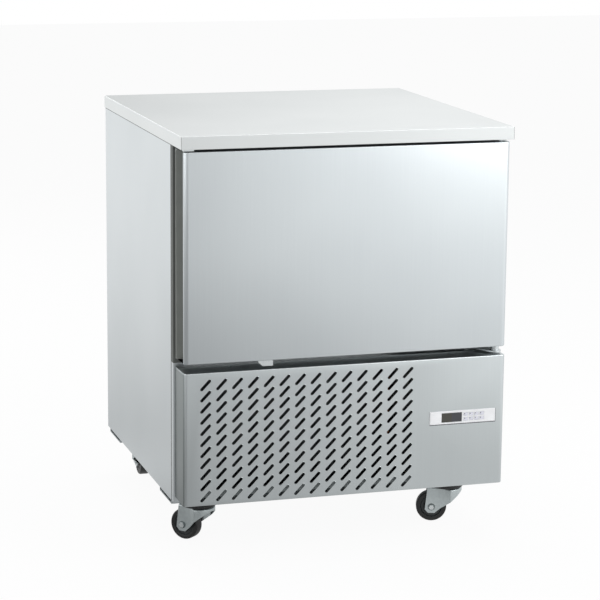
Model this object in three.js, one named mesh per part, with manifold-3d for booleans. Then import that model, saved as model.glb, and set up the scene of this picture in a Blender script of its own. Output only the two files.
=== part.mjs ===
// Blast chiller on casters: an insulated stainless cell for five trays above a machine compartment.
// Millimetres. +X is right, -Y is front, +Z is up. The origin is on the floor under the worktop's middle.
import * as THREE from 'three';
import { mergeVertices } from 'three/addons/utils/BufferGeometryUtils.js';
import Module from 'manifold-3d';

const wasm = await Module();
wasm.setup();

// ---------------------------------------------------------------- driving dimensions
const sheet = 1.5; // steel sheet of every outer panel
const seat = 0.25; // gap between pieces that rest on or fit in each other
const worktopWidth = 800;
const worktopDepth = 815;
const worktopThickness = 30;
const worktopEdgeRadius = 2.5;
const bodyInset = 2; // body sides behind the worktop's side edges
const bodyBackInset = 2.5; // body back ahead of the worktop's back edge
const bodyFrontDepth = 87.5; // worktop front edge to the body's front face
const frameBand = 20; // depth of the front frame's side bands

// heights, one above the other from the floor
const casterHeight = 114;
const channelDrop = 11; // caster channels below the side panels
const fasciaRise = 13; // front cover above the side panels' lower edge
const fasciaHeight = 316;
const lowerGap = 21;
const doorHeight = 489;
const upperGap = 6;

// insulated cell
const sideWall = 62;
const backWall = 60;
const floorWall = 55;
const openingOverlap = 40; // door beyond the cell's opening, top and bottom
const linerSheet = 1;
const machineSidePost = 48; // front frame beside the machine compartment
const machineSill = 25;
const machineHeadroom = 16; // compartment opening's top below the cell's insulation

// door
const faceInset = 4; // door and front cover inside the body's sides
const facePlane = 4; // door and front cover behind the worktop's front edge
const doorCorner = 12;
const gasketThickness = 10.5;
const gasketWidth = 18;
const gasketInset = 20;
const gripDepth = 20; // full-height finger grip in the door's free side
const gripLip = 9;
const gripHeel = 8;
const gripSlope = 6;
const dykeDepth = 10; // raised middle of the door's inner panel
const dykeMargin = 12; // between the raised middle and the gasket
const pivotSide = 18; // hinge pivot from the door's right edge
const pivotDepth = 25; // hinge pivot behind the door's front face
const pinRadius = 6;
const pinReach = 20; // hinge pins into the door
const pinClearance = 0.8;
const hingeBossRadius = 10;
const hingeNose = 15;
const lowerHingePlate = 4;
const lowerHingeDrop = 13; // plate below the door
const upperHingePlate = 3;
const hingeFlange = 28;
const hingeSpread = 55; // hinge plates to the left of the pivot, at the body
const tabWidth = 36;
const tabDrop = 14;
const tabInset = 196; // tab's middle from the door's left edge
const tabSetback = 6;
const tabFoot = 24;

// front cover
const fasciaCorner = 9;
const fasciaTopFlange = 62;
const fasciaBottomFlange = 60;
const slotColumns = 14;
const slotRows = 11;
const slotPitchX = 37.8;
const slotPitchZ = 26.5;
const slotLength = 34;
const slotWidth = 7.5;
const slotTilt = 46 * Math.PI / 180;
const slotFirstInset = 52; // first slot's middle from the cover's left edge
const slotFirstZ = 22.5; // above the cover's lower edge

// controller
const bezelWidth = 166;
const bezelHeight = 32;
const bezelProud = 3.25;
const bezelBevel = 1.5;
const bezelInset = 106; // bezel's middle from the cover's right edge
const bezelZ = 171.5; // above the cover's lower edge
const housingWidth = 150;
const housingHeight = 25;
const housingDepth = 40;
const housingClearance = 0.5;
const windowWidth = 50.5;
const windowHeight = 22;
const windowThickness = 1.5;
const windowShift = 27.75; // window's middle to the left of the bezel's
const keyColumns = 4;
const keyRows = 2;
const keyPitchX = 13.5;
const keyPitchZ = 11.25;
const keyWidth = 10.4;
const keyHeight = 7.6;
const keyDepth = 3;
const keyProud = 0.5;
const keyClearance = 0.35;
const keyTravel = 0.5;
const keysShift = 28.25; // middle of the keys to the right of the bezel's
const keyStep = 0.6; // edge round a key's raised face

// tray racks: five levels of runners for trays laid crosswise
const trayHalfWidth = 265;
const trayClearance = 3;
const runnerLedge = 22;
const runnerLeg = 18;
const runnerSheet = 2;
const trayLevels = 5;
const levelPitch = 70;
const firstLevel = 45; // above the cell's floor
const rackPost = 12;
const rackFront = 35; // behind the body's front face
const rackPostInset = 30;
const pegRadius = 6;

// cell fan and evaporator
const fanCoverSetback = 70; // fan cover behind the racks
const coverReturn = 14;
const fanOpeningRadius = 155;
const armOverlap = 12; // motor arms beyond the fan's opening
const cellFanRadius = 145;
const cellFanDepth = 34;
const cellFanHub = 38;
const guardWire = 2.5;
const guardStandoff = 34;
const guardRings = 3;
const motorRadius = 44;
const motorLength = 70;
const motorGap = 4; // between a rotor and its motor's face
const motorCoilGap = 8; // cell fan's motor ahead of the evaporator
const shaftRadius = 7;
const hubCap = 6; // hub in front of the shaft's end
const armWidth = 14;
const armSheet = 3;
const airSlotRows = 9;
const airSlotPitch = 40;
const airSlotLength = 70;
const airSlotHeight = 10;
const airSlotX = 255;
const evaporatorWidth = 560;
const evaporatorDepth = 110;
const evaporatorHeight = 335;
const evaporatorFins = 22;
const dripTrayHeight = 24;
const dripTrayMargin = 12;
const dripSheet = 1.5;
const spoutRadius = 9;
const spoutInset = 160; // drain spout from the evaporator's right end
const glandFlange = 12; // radius
const glandBody = 7;
const probeDepth = 150; // behind the body's front face
const probeDrop = 45; // below the cell's ceiling

// machine compartment
const coilWidth = 500;
const coilDepth = 66;
const coilHeight = 296;
const coilFins = 26;
const coilSideGap = 50.25; // condenser coil beside the left panel
const coilSetback = 34; // behind the body's front face
const finCore = 12;
const finSheet = 2.5;
const shroudDepth = 52;
const machineOpeningRadius = 132;
const machineFanRadius = 124;
const machineFanDepth = 30;
const machineFanHub = 34;
const fanZ = 150; // axis above the base
const compressorRadius = 92;
const compressorHeight = 225;
const compressorX = 20;
const compressorInset = 255; // compressor's axis ahead of the body's back
const compressorFoot = 170;
const compressorDome = 34;
const footHeight = 12;
const boxWidth = 150;
const boxDepth = 210;
const boxHeight = 250;
const boxRim = 8; // box face round the raised lid
const lidRise = 4;
const boxSideGap = 21.25; // electrical box beside the right panel
const boxInset = 375; // its middle ahead of the body's back
const liquidPipe = 5;
const suctionPipe = 8;
const drierRadius = 14;
const drierLength = 110;
const pipeClearance = 2;
const liquidInset = 50; // liquid line's riser from the evaporator's left end
const riserSpacing = 40;
const riserInset = 55; // risers ahead of the cell's back wall
const liquidRise = 60; // lines above the base floor
const suctionRise = 120;
const dischargeRise = 150;
const lineOffset = 26; // lines beside the coil and the compressor
const lineEnd = 1; // gap at a line's end
const lineBend = 30; // size of the lines' bends
const louvreColumns = 3;
const louvreRows = 8;
const louvreLength = 170;
const louvreHeight = 8;
const louvrePitchX = 215;
const louvrePitchZ = 30;
const louvreFirstZ = 60; // above the base
const cableInset = 68; // gland from the body's side
const cableZ = 110; // above the base
const cableRadius = 9;

// base and casters
const baseLip = 22;
const channelWidth = 118;
const channelInset = 2; // channel's ends inside the body's sides
const channelSheet = 3;
const frontCasterInset = 88; // swivel axes from the body's front, back and sides
const rearCasterInset = 77;
const casterSideInset = 83;
const plateLength = 100;
const plateWidth = 84;
const plateThickness = 3.5;
const wheelRadius = 37.5;
const wheelWidth = 25;
const hubWidth = 29;
const treadRound = 4;
const webDepth = 3.5;
const rimWidth = 9;
const hubRadius = 13;
const casterTrail = 35;
const crownRadius = 40;
const crownTop = 88;
const forkSheet = 2.5;
const cheekInside = 16;
const cheekStart = 14; // flat part of the cheeks, from the swivel axis
const cheekEnd = 52;
const skirtFoot = 78; // lower edge of the skirt at the leading side
const cheekFoot = 22;
const raceRadius = 30;
const raceNeck = 20;
const raceNeckHeight = 5;
const kingPin = 6;
const kingHead = 10;
const kingHeadHeight = 4.5;
const axleRadius = 4;
const axleHead = 7;
const axleHeadHeight = 4.5;
const runningClearance = 0.6;
const turnedGap = 0.3; // between pieces inside a turned caster

// ---------------------------------------------------------------- places worked out from them
const halfWidth = worktopWidth / 2;
const halfDepth = worktopDepth / 2;
const bodySide = halfWidth - bodyInset;
const bodyFront = -halfDepth + bodyFrontDepth;
const bodyBack = halfDepth - bodyBackInset;
const channelZ = casterHeight;
const baseZ = casterHeight + channelDrop;
const fasciaZ = baseZ + fasciaRise;
const fasciaTop = fasciaZ + fasciaHeight;
const doorZ = fasciaTop + lowerGap;
const doorTop = doorZ + doorHeight;
const worktopZ = doorTop + upperGap;
const worktopTop = worktopZ + worktopThickness;
const ceilingZ = worktopTop - sheet - seat; // top of everything inside the worktop's tray
const cellSide = bodySide - sideWall;
const cellBack = bodyBack - backWall;
const cellFloor = doorZ + openingOverlap;
const cellCeiling = doorTop - openingOverlap;
const insulationZ = cellFloor - floorWall;
const insideSide = bodySide - sheet - seat;
const insideBack = bodyBack - sheet - seat;
const insideFront = bodyFront + sheet + seat;
const faceY = -halfDepth + facePlane;
const faceSide = bodySide - faceInset;
const doorBack = bodyFront - gasketThickness - seat;
const pivotX = faceSide - pivotSide;
const pivotY = faceY + pivotDepth;
const deckZ = baseZ + sheet + seat + sheet; // upper face of the base floor
const machineCeiling = insulationZ - machineHeadroom;
const rackY = bodyFront + rackFront;
const cellFanZ = (cellFloor + cellCeiling) / 2;
const evaporatorY = cellBack - seat - evaporatorDepth;
const cellFanY = evaporatorY - motorCoilGap - motorLength - motorGap - cellFanDepth / 2;
const fanCoverY = cellFanY - sheet / 2;
const rackDepth = fanCoverY - fanCoverSetback - rackY;
const liquidX = liquidInset - evaporatorWidth / 2;
const suctionX = liquidX + riserSpacing;
const pipeY = cellBack - riserInset;
const spoutX = evaporatorWidth / 2 - spoutInset;
const tabCentre = tabInset - faceSide;
const slotFirstX = slotFirstInset - faceSide;
const bezelX = faceSide - bezelInset;
const windowX = bezelX - windowShift;
const keysX = bezelX + keysShift;
const coilX = coilSideGap + coilWidth / 2 - insideSide;
const compressorY = bodyBack - compressorInset;
const boxX = insideSide - boxSideGap - boxWidth / 2;
const boxY = bodyBack - boxInset;
const cableX = bodySide - cableInset;
const casterX = bodySide - casterSideInset;
const frontCasterY = bodyFront + frontCasterInset;
const rearCasterY = bodyBack - rearCasterInset;
const coilY = bodyFront + coilSetback;
const coilBack = coilY + coilDepth;
const shroudY = coilBack + seat;
const shroudBack = shroudY + shroudDepth;
const machineFanZ = deckZ + fanZ;
const fittedZ = deckZ + seat; // lower face of what stands on the base floor

// ---------------------------------------------------------------- finishes
const finish = (color, roughness, metalness) => () =>
  new THREE.MeshStandardMaterial({ color, roughness, metalness });
const stainless = finish(0xc9cdce, 0.35, 0.9);
const innerStainless = finish(0xbfc4c6, 0.3, 0.9);
const galvanised = finish(0xaab0b2, 0.5, 0.8);
const zincPlated = finish(0xb0b8ba, 0.35, 0.9);
const foam = finish(0xe6dcb4, 0.9, 0);
const blackRubber = finish(0x1d2222, 0.7, 0);
const greyRubber = finish(0x55595a, 0.8, 0);
const blackPaint = finish(0x1c1d1f, 0.5, 0.1);
const whitePlastic = finish(0xe9ecea, 0.45, 0);
const keyPlastic = finish(0xc6c8d4, 0.5, 0);
const darkGlass = finish(0x3c3d3c, 0.15, 0);
const greyPlastic = finish(0x7d8284, 0.6, 0);
const finAluminium = finish(0xb9bec0, 0.5, 0.8);
const copper = finish(0xb06a45, 0.35, 0.9);

// ---------------------------------------------------------------- solids
// a closed three.js geometry as a solid that can be joined and cut
function solid(geometry) {
  const bare = geometry.clone();
  bare.deleteAttribute('normal');
  bare.deleteAttribute('uv');
  const merged = mergeVertices(bare, 1e-4);
  const mesh = new wasm.Mesh({
    numProp: 3,
    vertProperties: new Float32Array(merged.attributes.position.array),
    triVerts: new Uint32Array(merged.index.array),
  });
  return new wasm.Manifold(mesh);
}

function geometryOf(body) {
  const mesh = body.getMesh();
  const geometry = new THREE.BufferGeometry();
  geometry.setAttribute('position', new THREE.BufferAttribute(mesh.vertProperties, 3));
  geometry.setIndex(new THREE.BufferAttribute(mesh.triVerts, 1));
  return geometry;
}

// a block between two limits along each axis
function block(x0, x1, y0, y1, z0, z1) {
  const geometry = new THREE.BoxGeometry(x1 - x0, y1 - y0, z1 - z0);
  return solid(geometry.translate((x0 + x1) / 2, (y0 + y1) / 2, (z0 + z1) / 2));
}

function extruded(shape, depth) {
  return new THREE.ExtrudeGeometry(shape, { depth, bevelEnabled: false });
}

function outline(points) {
  return new THREE.Shape(points.map(([a, b]) => new THREE.Vector2(a, b)));
}

// a plan outline (x, y) raised from z0 to z1
function standing(points, z0, z1) {
  return solid(extruded(outline(points), z1 - z0).translate(0, 0, z0));
}

// an elevation outline (x, z) between y0 and y1
function facing(points, y0, y1) {
  return solid(extruded(outline(points), y1 - y0).rotateX(Math.PI / 2).translate(0, y1, 0));
}

// a side outline (y, z) between x0 and x1
function sideways(points, x0, x1) {
  const geometry = extruded(outline(points), x1 - x0).rotateX(Math.PI / 2).rotateZ(Math.PI / 2);
  return solid(geometry.translate(x0, 0, 0));
}

// a round bar along Z, on the axis through x and y
function upright(radius, z0, z1, x = 0, y = 0, sides = 16) {
  const geometry = new THREE.CylinderGeometry(radius, radius, z1 - z0, sides).rotateX(Math.PI / 2);
  return solid(geometry.translate(x, y, (z0 + z1) / 2));
}

// a round bar along Y, on the axis through x and z
function level(radius, y0, y1, x = 0, z = 0, sides = 16) {
  const geometry = new THREE.CylinderGeometry(radius, radius, y1 - y0, sides);
  return solid(geometry.translate(x, (y0 + y1) / 2, z));
}

// a round bar along X, on the axis through y and z
function across(radius, x0, x1, y = 0, z = 0, sides = 16) {
  const geometry = new THREE.CylinderGeometry(radius, radius, x1 - x0, sides).rotateZ(Math.PI / 2);
  return solid(geometry.translate((x0 + x1) / 2, y, z));
}

function joined(solids) {
  return solids.reduce((whole, next) => whole.add(next));
}

function cut(body, tools) {
  return tools.reduce((rest, tool) => rest.subtract(tool), body);
}

// points of an arc, from one angle to another
function arc(cx, cy, radius, from, to, steps) {
  const points = [];
  for (let i = 0; i <= steps; i += 1) {
    const angle = from + (to - from) * i / steps;
    points.push([cx + radius * Math.cos(angle), cy + radius * Math.sin(angle)]);
  }
  return points;
}

// a closed outline moved inwards by one distance all round; its points run anticlockwise
function inset(points, distance) {
  const count = points.length;
  return points.map((point, i) => {
    const before = points[(i + count - 1) % count];
    const after = points[(i + 1) % count];
    const into = new THREE.Vector2(point[0] - before[0], point[1] - before[1]).normalize();
    const out = new THREE.Vector2(after[0] - point[0], after[1] - point[1]).normalize();
    const reach = distance / (1 + into.dot(out));
    return [point[0] - (into.y + out.y) * reach, point[1] + (into.x + out.x) * reach];
  });
}

const group = new THREE.Group();

function place(parent, name, body, material) {
  const mesh = new THREE.Mesh(body.isBufferGeometry ? body : geometryOf(body), material());
  mesh.name = name;
  parent.add(mesh);
  return mesh;
}

// ---------------------------------------------------------------- worktop
// A folded tray. Its deep front return closes the overhang above the door.
function worktop() {
  const radius = worktopEdgeRadius;
  const section = (half) => [
    [-half, worktopZ],
    [half, worktopZ],
    ...arc(half - radius, worktopTop - radius, radius, 0, Math.PI / 2, 3),
    ...arc(radius - half, worktopTop - radius, radius, Math.PI / 2, Math.PI, 3),
  ];
  const slab = facing(section(halfWidth), -halfDepth, halfDepth)
    .intersect(sideways(section(halfDepth), -halfWidth, halfWidth));
  const inner = halfWidth - sheet;
  const roof = worktopTop - sheet;
  const tray = block(-inner, inner, bodyFront, halfDepth - sheet, worktopZ - 1, roof);
  const overhang = block(-inner, inner, sheet - halfDepth, bodyFront + 1, worktopZ + sheet, roof);
  return cut(slab, [tray, overhang]);
}

// ---------------------------------------------------------------- body
function sidePanel(side) {
  const y0 = bodyFront + frameBand + seat;
  const wall = [side * bodySide, side * (bodySide - sheet)].sort((a, b) => a - b);
  const lip = [side * bodySide, side * (bodySide - baseLip)].sort((a, b) => a - b);
  return block(...wall, y0, bodyBack, baseZ, ceilingZ)
    .add(block(...lip, y0, bodyBack, baseZ, baseZ + sheet));
}

function backPanel() {
  const openings = [];
  for (let column = 0; column < louvreColumns; column += 1) {
    const x = (column - (louvreColumns - 1) / 2) * louvrePitchX;
    for (let row = 0; row < louvreRows; row += 1) {
      const z = deckZ + louvreFirstZ + row * louvrePitchZ;
      openings.push(block(x - louvreLength / 2, x + louvreLength / 2, insideBack - 1, bodyBack + 1,
        z, z + louvreHeight));
    }
  }
  openings.push(level(cableRadius + seat, insideBack - 1, bodyBack + 1, cableX, deckZ + cableZ, 12));
  const z0 = baseZ + sheet + seat;
  const panel = block(-insideSide, insideSide, bodyBack - sheet, bodyBack, z0, ceilingZ);
  return cut(panel, openings);
}

// Folded band round the body's front. The door's gasket closes on it.
function frontFrame() {
  const back = bodyFront + frameBand;
  const top = worktopZ - seat;
  const whole = block(-bodySide, bodySide, bodyFront, back, baseZ, top);
  const inner = bodySide - sheet;
  const post = bodySide - machineSidePost;
  return cut(whole, [
    block(-inner, inner, bodyFront + sheet, back + 1, baseZ + sheet, top + 1),
    block(-cellSide, cellSide, bodyFront - 1, back, cellFloor, cellCeiling),
    block(-post, post, bodyFront - 1, back, baseZ + machineSill, machineCeiling),
  ]);
}

// Floor of the machine compartment with the two channels that carry the casters.
function baseFrame() {
  const z0 = baseZ + sheet + seat;
  const back = bodyBack - sheet - seat;
  const floor = block(-insideSide, insideSide, insideFront, back, z0, deckZ);
  const channels = [frontCasterY, rearCasterY].map((y) => {
    const half = channelWidth / 2;
    const end = bodySide - channelInset;
    const inner = bodySide - baseLip - 2;
    const foot = channelZ + seat;
    const under = block(-end, end, y - half, y + half, foot, baseZ - seat);
    const between = block(-inner, inner, y - half, y + half, foot + 1, z0 + seat);
    return cut(under.add(between), [
      block(-end - 1, end + 1, y - half + channelSheet, y + half - channelSheet,
        foot + channelSheet, z0),
    ]);
  });
  return joined([floor, ...channels]);
}

// outer size of the cell's liner, grown by a gap
function linerBlock(gap) {
  const wall = linerSheet + gap;
  return block(-cellSide - wall, cellSide + wall, insideFront - (gap > 0 ? 1 : 0),
    cellBack + wall, cellFloor - wall, cellCeiling + wall);
}

function cellPassages() {
  const z0 = insulationZ - 1;
  const z1 = cellFloor + 1;
  return [
    upright(liquidPipe + pipeClearance, z0, z1, liquidX, pipeY, 12),
    upright(suctionPipe + pipeClearance, z0, z1, suctionX, pipeY, 12),
    upright(spoutRadius + pipeClearance, z0, z1, spoutX, pipeY, 12),
    across(glandBody + seat, cellSide - 1, cellSide + 30, bodyFront + probeDepth,
      cellCeiling - probeDrop, 12),
  ];
}

function bodyInsulation() {
  const whole = block(-insideSide, insideSide, insideFront, insideBack, insulationZ, ceilingZ);
  return cut(whole, [linerBlock(seat), ...cellPassages()]);
}

function cavityLiner() {
  const hollow = block(-cellSide, cellSide, insideFront - 1, cellBack, cellFloor, cellCeiling);
  return cut(linerBlock(0), [hollow, ...cellPassages()]);
}

// ---------------------------------------------------------------- inside the cell
// Two posts with five angle runners, held off the wall by four pegs.
function trayRack(side) {
  const span = (a, b) => [side * a, side * b].sort((p, q) => p - q);
  const leg = trayHalfWidth + trayClearance;
  const y1 = rackY + rackDepth;
  const posts = [rackY + rackPostInset, y1 - rackPostInset];
  const topZ = cellFloor + firstLevel + (trayLevels - 1) * levelPitch + runnerLeg;
  const bodies = posts.flatMap((y) => [
    block(...span(leg + runnerSheet / 2, leg + runnerSheet / 2 + rackPost), y - rackPost / 2,
      y + rackPost / 2, cellFloor + seat, topZ),
    ...[cellFloor + firstLevel / 2, topZ - rackPost].map((z) =>
      across(pegRadius, ...span(leg + runnerSheet, cellSide - seat), y, z, 8)),
  ]);
  for (let i = 0; i < trayLevels; i += 1) {
    const z = cellFloor + firstLevel + i * levelPitch;
    bodies.push(block(...span(leg, leg + runnerSheet), rackY, y1, z, z + runnerLeg));
    bodies.push(block(...span(leg - runnerLedge, leg + runnerSheet / 2), rackY, y1, z, z + runnerSheet));
  }
  return joined(bodies);
}

// Block of upright fins in front of a core: one comb-shaped plan outline.
function finnedCoil(x0, x1, yFins, yCore, z0, z1, fins) {
  const pitch = (x1 - x0 - finSheet) / (fins - 1);
  const root = yCore - finCore;
  const comb = [[x1, yCore], [x0, yCore]];
  for (let i = 0; i < fins; i += 1) {
    const left = x0 + i * pitch;
    const right = left + finSheet;
    if (i > 0) {
      comb.push([left, root]);
    }
    comb.push([left, yFins], [right, yFins]);
    if (i < fins - 1) {
      comb.push([right, root]);
    }
  }
  return standing(comb, z0, z1);
}

function evaporatorCoil() {
  const half = evaporatorWidth / 2;
  const z0 = cellFloor + seat + dripTrayHeight + seat;
  return finnedCoil(-half, half, evaporatorY, cellBack - seat, z0, z0 + evaporatorHeight,
    evaporatorFins);
}

function dripTray() {
  const half = evaporatorWidth / 2 + dripTrayMargin;
  const y0 = evaporatorY - dripTrayMargin;
  const y1 = cellBack - seat;
  const z0 = cellFloor + seat;
  const z1 = z0 + dripTrayHeight;
  const wall = dripSheet;
  // the copper lines rise through round holes in the tray's floor
  const pan = cut(block(-half, half, y0, y1, z0, z1), [
    block(-half + wall, half - wall, y0 + wall, y1 - wall, z0 + wall, z1 + 1),
    upright(liquidPipe + pipeClearance, z0 - 1, z1, liquidX, pipeY, 12),
    upright(suctionPipe + pipeClearance, z0 - 1, z1, suctionX, pipeY, 12),
  ]);
  return cut(pan.add(upright(spoutRadius, insulationZ - 12, z0 + wall, spoutX, pipeY, 12)), [
    upright(spoutRadius - wall, insulationZ - 13, z0 + wall + 1, spoutX, pipeY, 12),
  ]);
}

// Upright sheet across the cell with the fan's opening, side air slots and a welded wire guard.
function fanCover() {
  const x = cellSide - seat;
  const z0 = cellFloor + seat;
  const z1 = cellCeiling - seat;
  const y1 = fanCoverY + coverReturn;
  const tools = [
    block(-x + sheet, x - sheet, fanCoverY + sheet, y1 + 1, z0 - 1, z1 + 1),
    level(fanOpeningRadius, fanCoverY - 1, y1, 0, cellFanZ, 40),
  ];
  for (let row = 0; row < airSlotRows; row += 1) {
    const z = cellFanZ + (row - (airSlotRows - 1) / 2) * airSlotPitch;
    for (const side of [-1, 1]) {
      const middle = side * airSlotX;
      tools.push(block(middle - airSlotLength / 2, middle + airSlotLength / 2, fanCoverY - 1,
        y1, z - airSlotHeight / 2, z + airSlotHeight / 2));
    }
  }
  const guard = [];
  const guardY = fanCoverY - guardStandoff;
  const outer = fanOpeningRadius + 8;
  for (let ring = 1; ring <= guardRings; ring += 1) {
    const torus = new THREE.TorusGeometry(outer * ring / guardRings - guardWire, guardWire, 4, 24);
    guard.push(solid(torus.rotateX(Math.PI / 2).translate(0, guardY, cellFanZ)));
  }
  for (const angle of [0, Math.PI / 2]) {
    const bar = new THREE.BoxGeometry(2 * outer, guardWire, 2 * guardWire).rotateY(angle);
    guard.push(solid(bar.translate(0, guardY, cellFanZ)));
  }
  for (let i = 0; i < 4; i += 1) {
    const angle = i * Math.PI / 2;
    const r = outer - guardWire;
    guard.push(level(guardWire, guardY, fanCoverY + sheet / 2, r * Math.cos(angle),
      cellFanZ + r * Math.sin(angle), 6));
  }
  return joined([cut(block(-x, x, fanCoverY, y1, z0, z1), tools), ...guard]);
}

// Axial rotor about the Y axis: a hub bored for the shaft, with pitched blades. Its middle is at
// the origin.
function fanRotor(radius, depth, hub) {
  const bodies = [level(hub, -depth / 2, depth / 2, 0, 0, 16)];
  const blades = 5;
  for (let i = 0; i < blades; i += 1) {
    const paddle = outline([
      [hub * 0.7, -0.3 * depth],
      [radius * 0.96, -0.62 * depth],
      [radius, 0],
      [radius * 0.94, 0.62 * depth],
      [hub * 0.7, 0.3 * depth],
    ]);
    const blade = extruded(paddle, 2).translate(0, 0, -1).scale(1, 1.5, 1);
    blade.rotateX(Math.PI / 2 * 0.68).rotateY(i * 2 * Math.PI / blades);
    bodies.push(solid(blade));
  }
  const limit = level(radius, -depth / 2, depth / 2, 0, 0, 40);
  const bore = level(shaftRadius + runningClearance, hubCap - depth / 2, depth / 2 + 1);
  return joined(bodies).intersect(limit).subtract(bore);
}

// Motor behind a rotor, on four arms whose ends turn forward to the plate that carries them.
function fanMotor(armReach, rotorDepth) {
  const motorY = rotorDepth / 2 + motorGap;
  const plateY = sheet / 2 + seat;
  const bodies = [
    level(motorRadius, motorY, motorY + motorLength, 0, 0, 20),
    level(shaftRadius, hubCap + turnedGap - rotorDepth / 2, motorY + 1, 0, 0, 12),
  ];
  for (const [dx, dz] of [[1, 0], [-1, 0], [0, 1], [0, -1]]) {
    const arms = (a, b, y0, y1) => block(
      dx ? Math.min(dx * a, dx * b) : -armWidth / 2, dx ? Math.max(dx * a, dx * b) : armWidth / 2,
      y0, y1,
      dz ? Math.min(dz * a, dz * b) : -armWidth / 2, dz ? Math.max(dz * a, dz * b) : armWidth / 2);
    const y = motorY + motorLength / 2;
    bodies.push(arms(motorRadius - 3, armReach, y, y + armSheet));
    bodies.push(arms(armReach - armSheet, armReach, plateY, y + armSheet));
  }
  return joined(bodies);
}

// Nylon gland where the core probe's lead passes the cell's wall.
function probeGland() {
  const y = bodyFront + probeDepth;
  const z = cellCeiling - probeDrop;
  return across(glandFlange, cellSide - 9, cellSide - seat, y, z, 12)
    .add(across(glandBody, cellSide - 1, cellSide + 12, y, z, 12));
}

// ---------------------------------------------------------------- door
// Plan outline of the door, anticlockwise, with rounded front corners and the grip at the left.
function doorPlan() {
  const heel = doorBack - gripHeel;
  const lip = faceY + gripLip;
  return [
    ...arc(faceSide - doorCorner, faceY + doorCorner, doorCorner, -Math.PI / 2, 0, 5),
    [faceSide, doorBack],
    [-faceSide, doorBack],
    [-faceSide, heel],
    [-faceSide + gripDepth, heel - gripSlope],
    [-faceSide + gripDepth, lip + gripSlope],
    [-faceSide + gripSlope, lip + 1],
    ...arc(-faceSide + doorCorner, faceY + doorCorner, doorCorner, Math.PI + 0.35, 1.5 * Math.PI, 4),
  ];
}

function pinHole(z0, z1) {
  return upright(pinRadius + pinClearance, z0, z1, pivotX, pivotY, 20);
}

function doorSkin() {
  const plan = doorPlan();
  const inner = inset(plan, sheet);
  const whole = standing(plan, doorZ, doorTop);
  const hollow = standing(inner, doorZ + sheet, doorTop - sheet);
  const mouth = block(-faceSide + sheet, faceSide - sheet, doorBack - sheet - 0.5, doorBack + 1,
    doorZ + sheet, doorTop - sheet);
  return cut(whole, [hollow, mouth, pinHole(doorZ - 1, doorZ + pinReach + 3),
    pinHole(doorTop - pinReach - 3, doorTop + 1)]);
}

function doorInsulation() {
  const body = standing(inset(doorPlan(), sheet + seat), doorZ + sheet + seat, doorTop - sheet - seat);
  const back = doorBack - sheet - 2 * seat;
  return cut(body, [
    block(-faceSide, faceSide, back, doorBack + 1, doorZ, doorTop),
    pinHole(doorZ, doorZ + pinReach + 3),
    pinHole(doorTop - pinReach - 3, doorTop),
  ]);
}

function doorInnerPanel() {
  const x = faceSide - sheet - seat;
  const z0 = doorZ + sheet + seat;
  const z1 = doorTop - sheet - seat;
  const edge = gasketInset + gasketWidth + dykeMargin;
  const raised = (inwards, y0, y1) => block(edge - faceSide + inwards, faceSide - edge - inwards,
    y0, y1, doorZ + edge + inwards, doorTop - edge - inwards);
  const panel = block(-x, x, doorBack - sheet - seat, doorBack - seat, z0, z1);
  return cut(panel.add(raised(0, doorBack - sheet, doorBack + dykeDepth - 1)), [
    raised(sheet, doorBack - 2 * sheet, doorBack + dykeDepth - 1 - sheet),
  ]);
}

function doorGasket() {
  const ring = (inwards, z) => [
    [inwards - faceSide, doorZ + inwards + z],
    [faceSide - inwards, doorZ + inwards + z],
    [faceSide - inwards, doorTop - inwards + z],
    [inwards - faceSide, doorTop - inwards + z],
  ];
  const y1 = bodyFront - seat;
  const y0 = y1 - gasketThickness + seat;
  const outer = facing(ring(gasketInset, 0), y0, y1);
  return outer.subtract(facing(ring(gasketInset + gasketWidth, 0), y0 - 1, y1 + 1));
}

// Three-cornered hinge plate: wide at the body, round at the pivot.
function hingePlan(back) {
  return [
    [pivotX - hingeSpread, back],
    ...arc(pivotX, pivotY, hingeNose, 1.2 * Math.PI, 2 * Math.PI, 8),
    [pivotX + hingeNose, back],
  ];
}

function lowerHinge() {
  const z1 = doorZ - lowerHingeDrop;
  const z0 = z1 - lowerHingePlate;
  const back = bodyFront - seat;
  const flange = block(pivotX - hingeSpread, pivotX + hingeNose, back - lowerHingePlate, back,
    z1 - hingeFlange, z1);
  return joined([
    standing(hingePlan(back), z0, z1),
    flange,
    upright(hingeBossRadius, z0 + 1, doorZ - seat, pivotX, pivotY, 20),
    upright(pinRadius, z0 + 1, doorZ + pinReach, pivotX, pivotY, 20),
  ]);
}

function upperHinge() {
  const z1 = worktopZ - seat;
  const z0 = z1 - upperHingePlate;
  return standing(hingePlan(bodyFront - seat), z0, z1)
    .add(upright(pinRadius, doorTop - pinReach, z0 + 1, pivotX, pivotY, 20));
}

// Folded tab under the door that works the door switch.
function switchTab() {
  const y = faceY + tabSetback;
  const z = doorZ - seat;
  const half = tabWidth / 2;
  const leaf = facing([
    [tabCentre - half + 11, z - tabDrop],
    [tabCentre + half, z - tabDrop],
    [tabCentre + half, z],
    [tabCentre - half, z],
    [tabCentre - half, z - 4],
  ], y, y + sheet);
  return leaf.add(block(tabCentre - half, tabCentre + half, y, y + tabFoot, z - sheet, z));
}

// ---------------------------------------------------------------- front cover and controller
function fasciaPlan() {
  const back = bodyFront - seat;
  return [
    ...arc(faceSide - fasciaCorner, faceY + fasciaCorner, fasciaCorner, -Math.PI / 2, 0, 4),
    [faceSide, back],
    [-faceSide, back],
    ...arc(-faceSide + fasciaCorner, faceY + fasciaCorner, fasciaCorner, Math.PI, 1.5 * Math.PI, 4),
  ];
}

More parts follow.
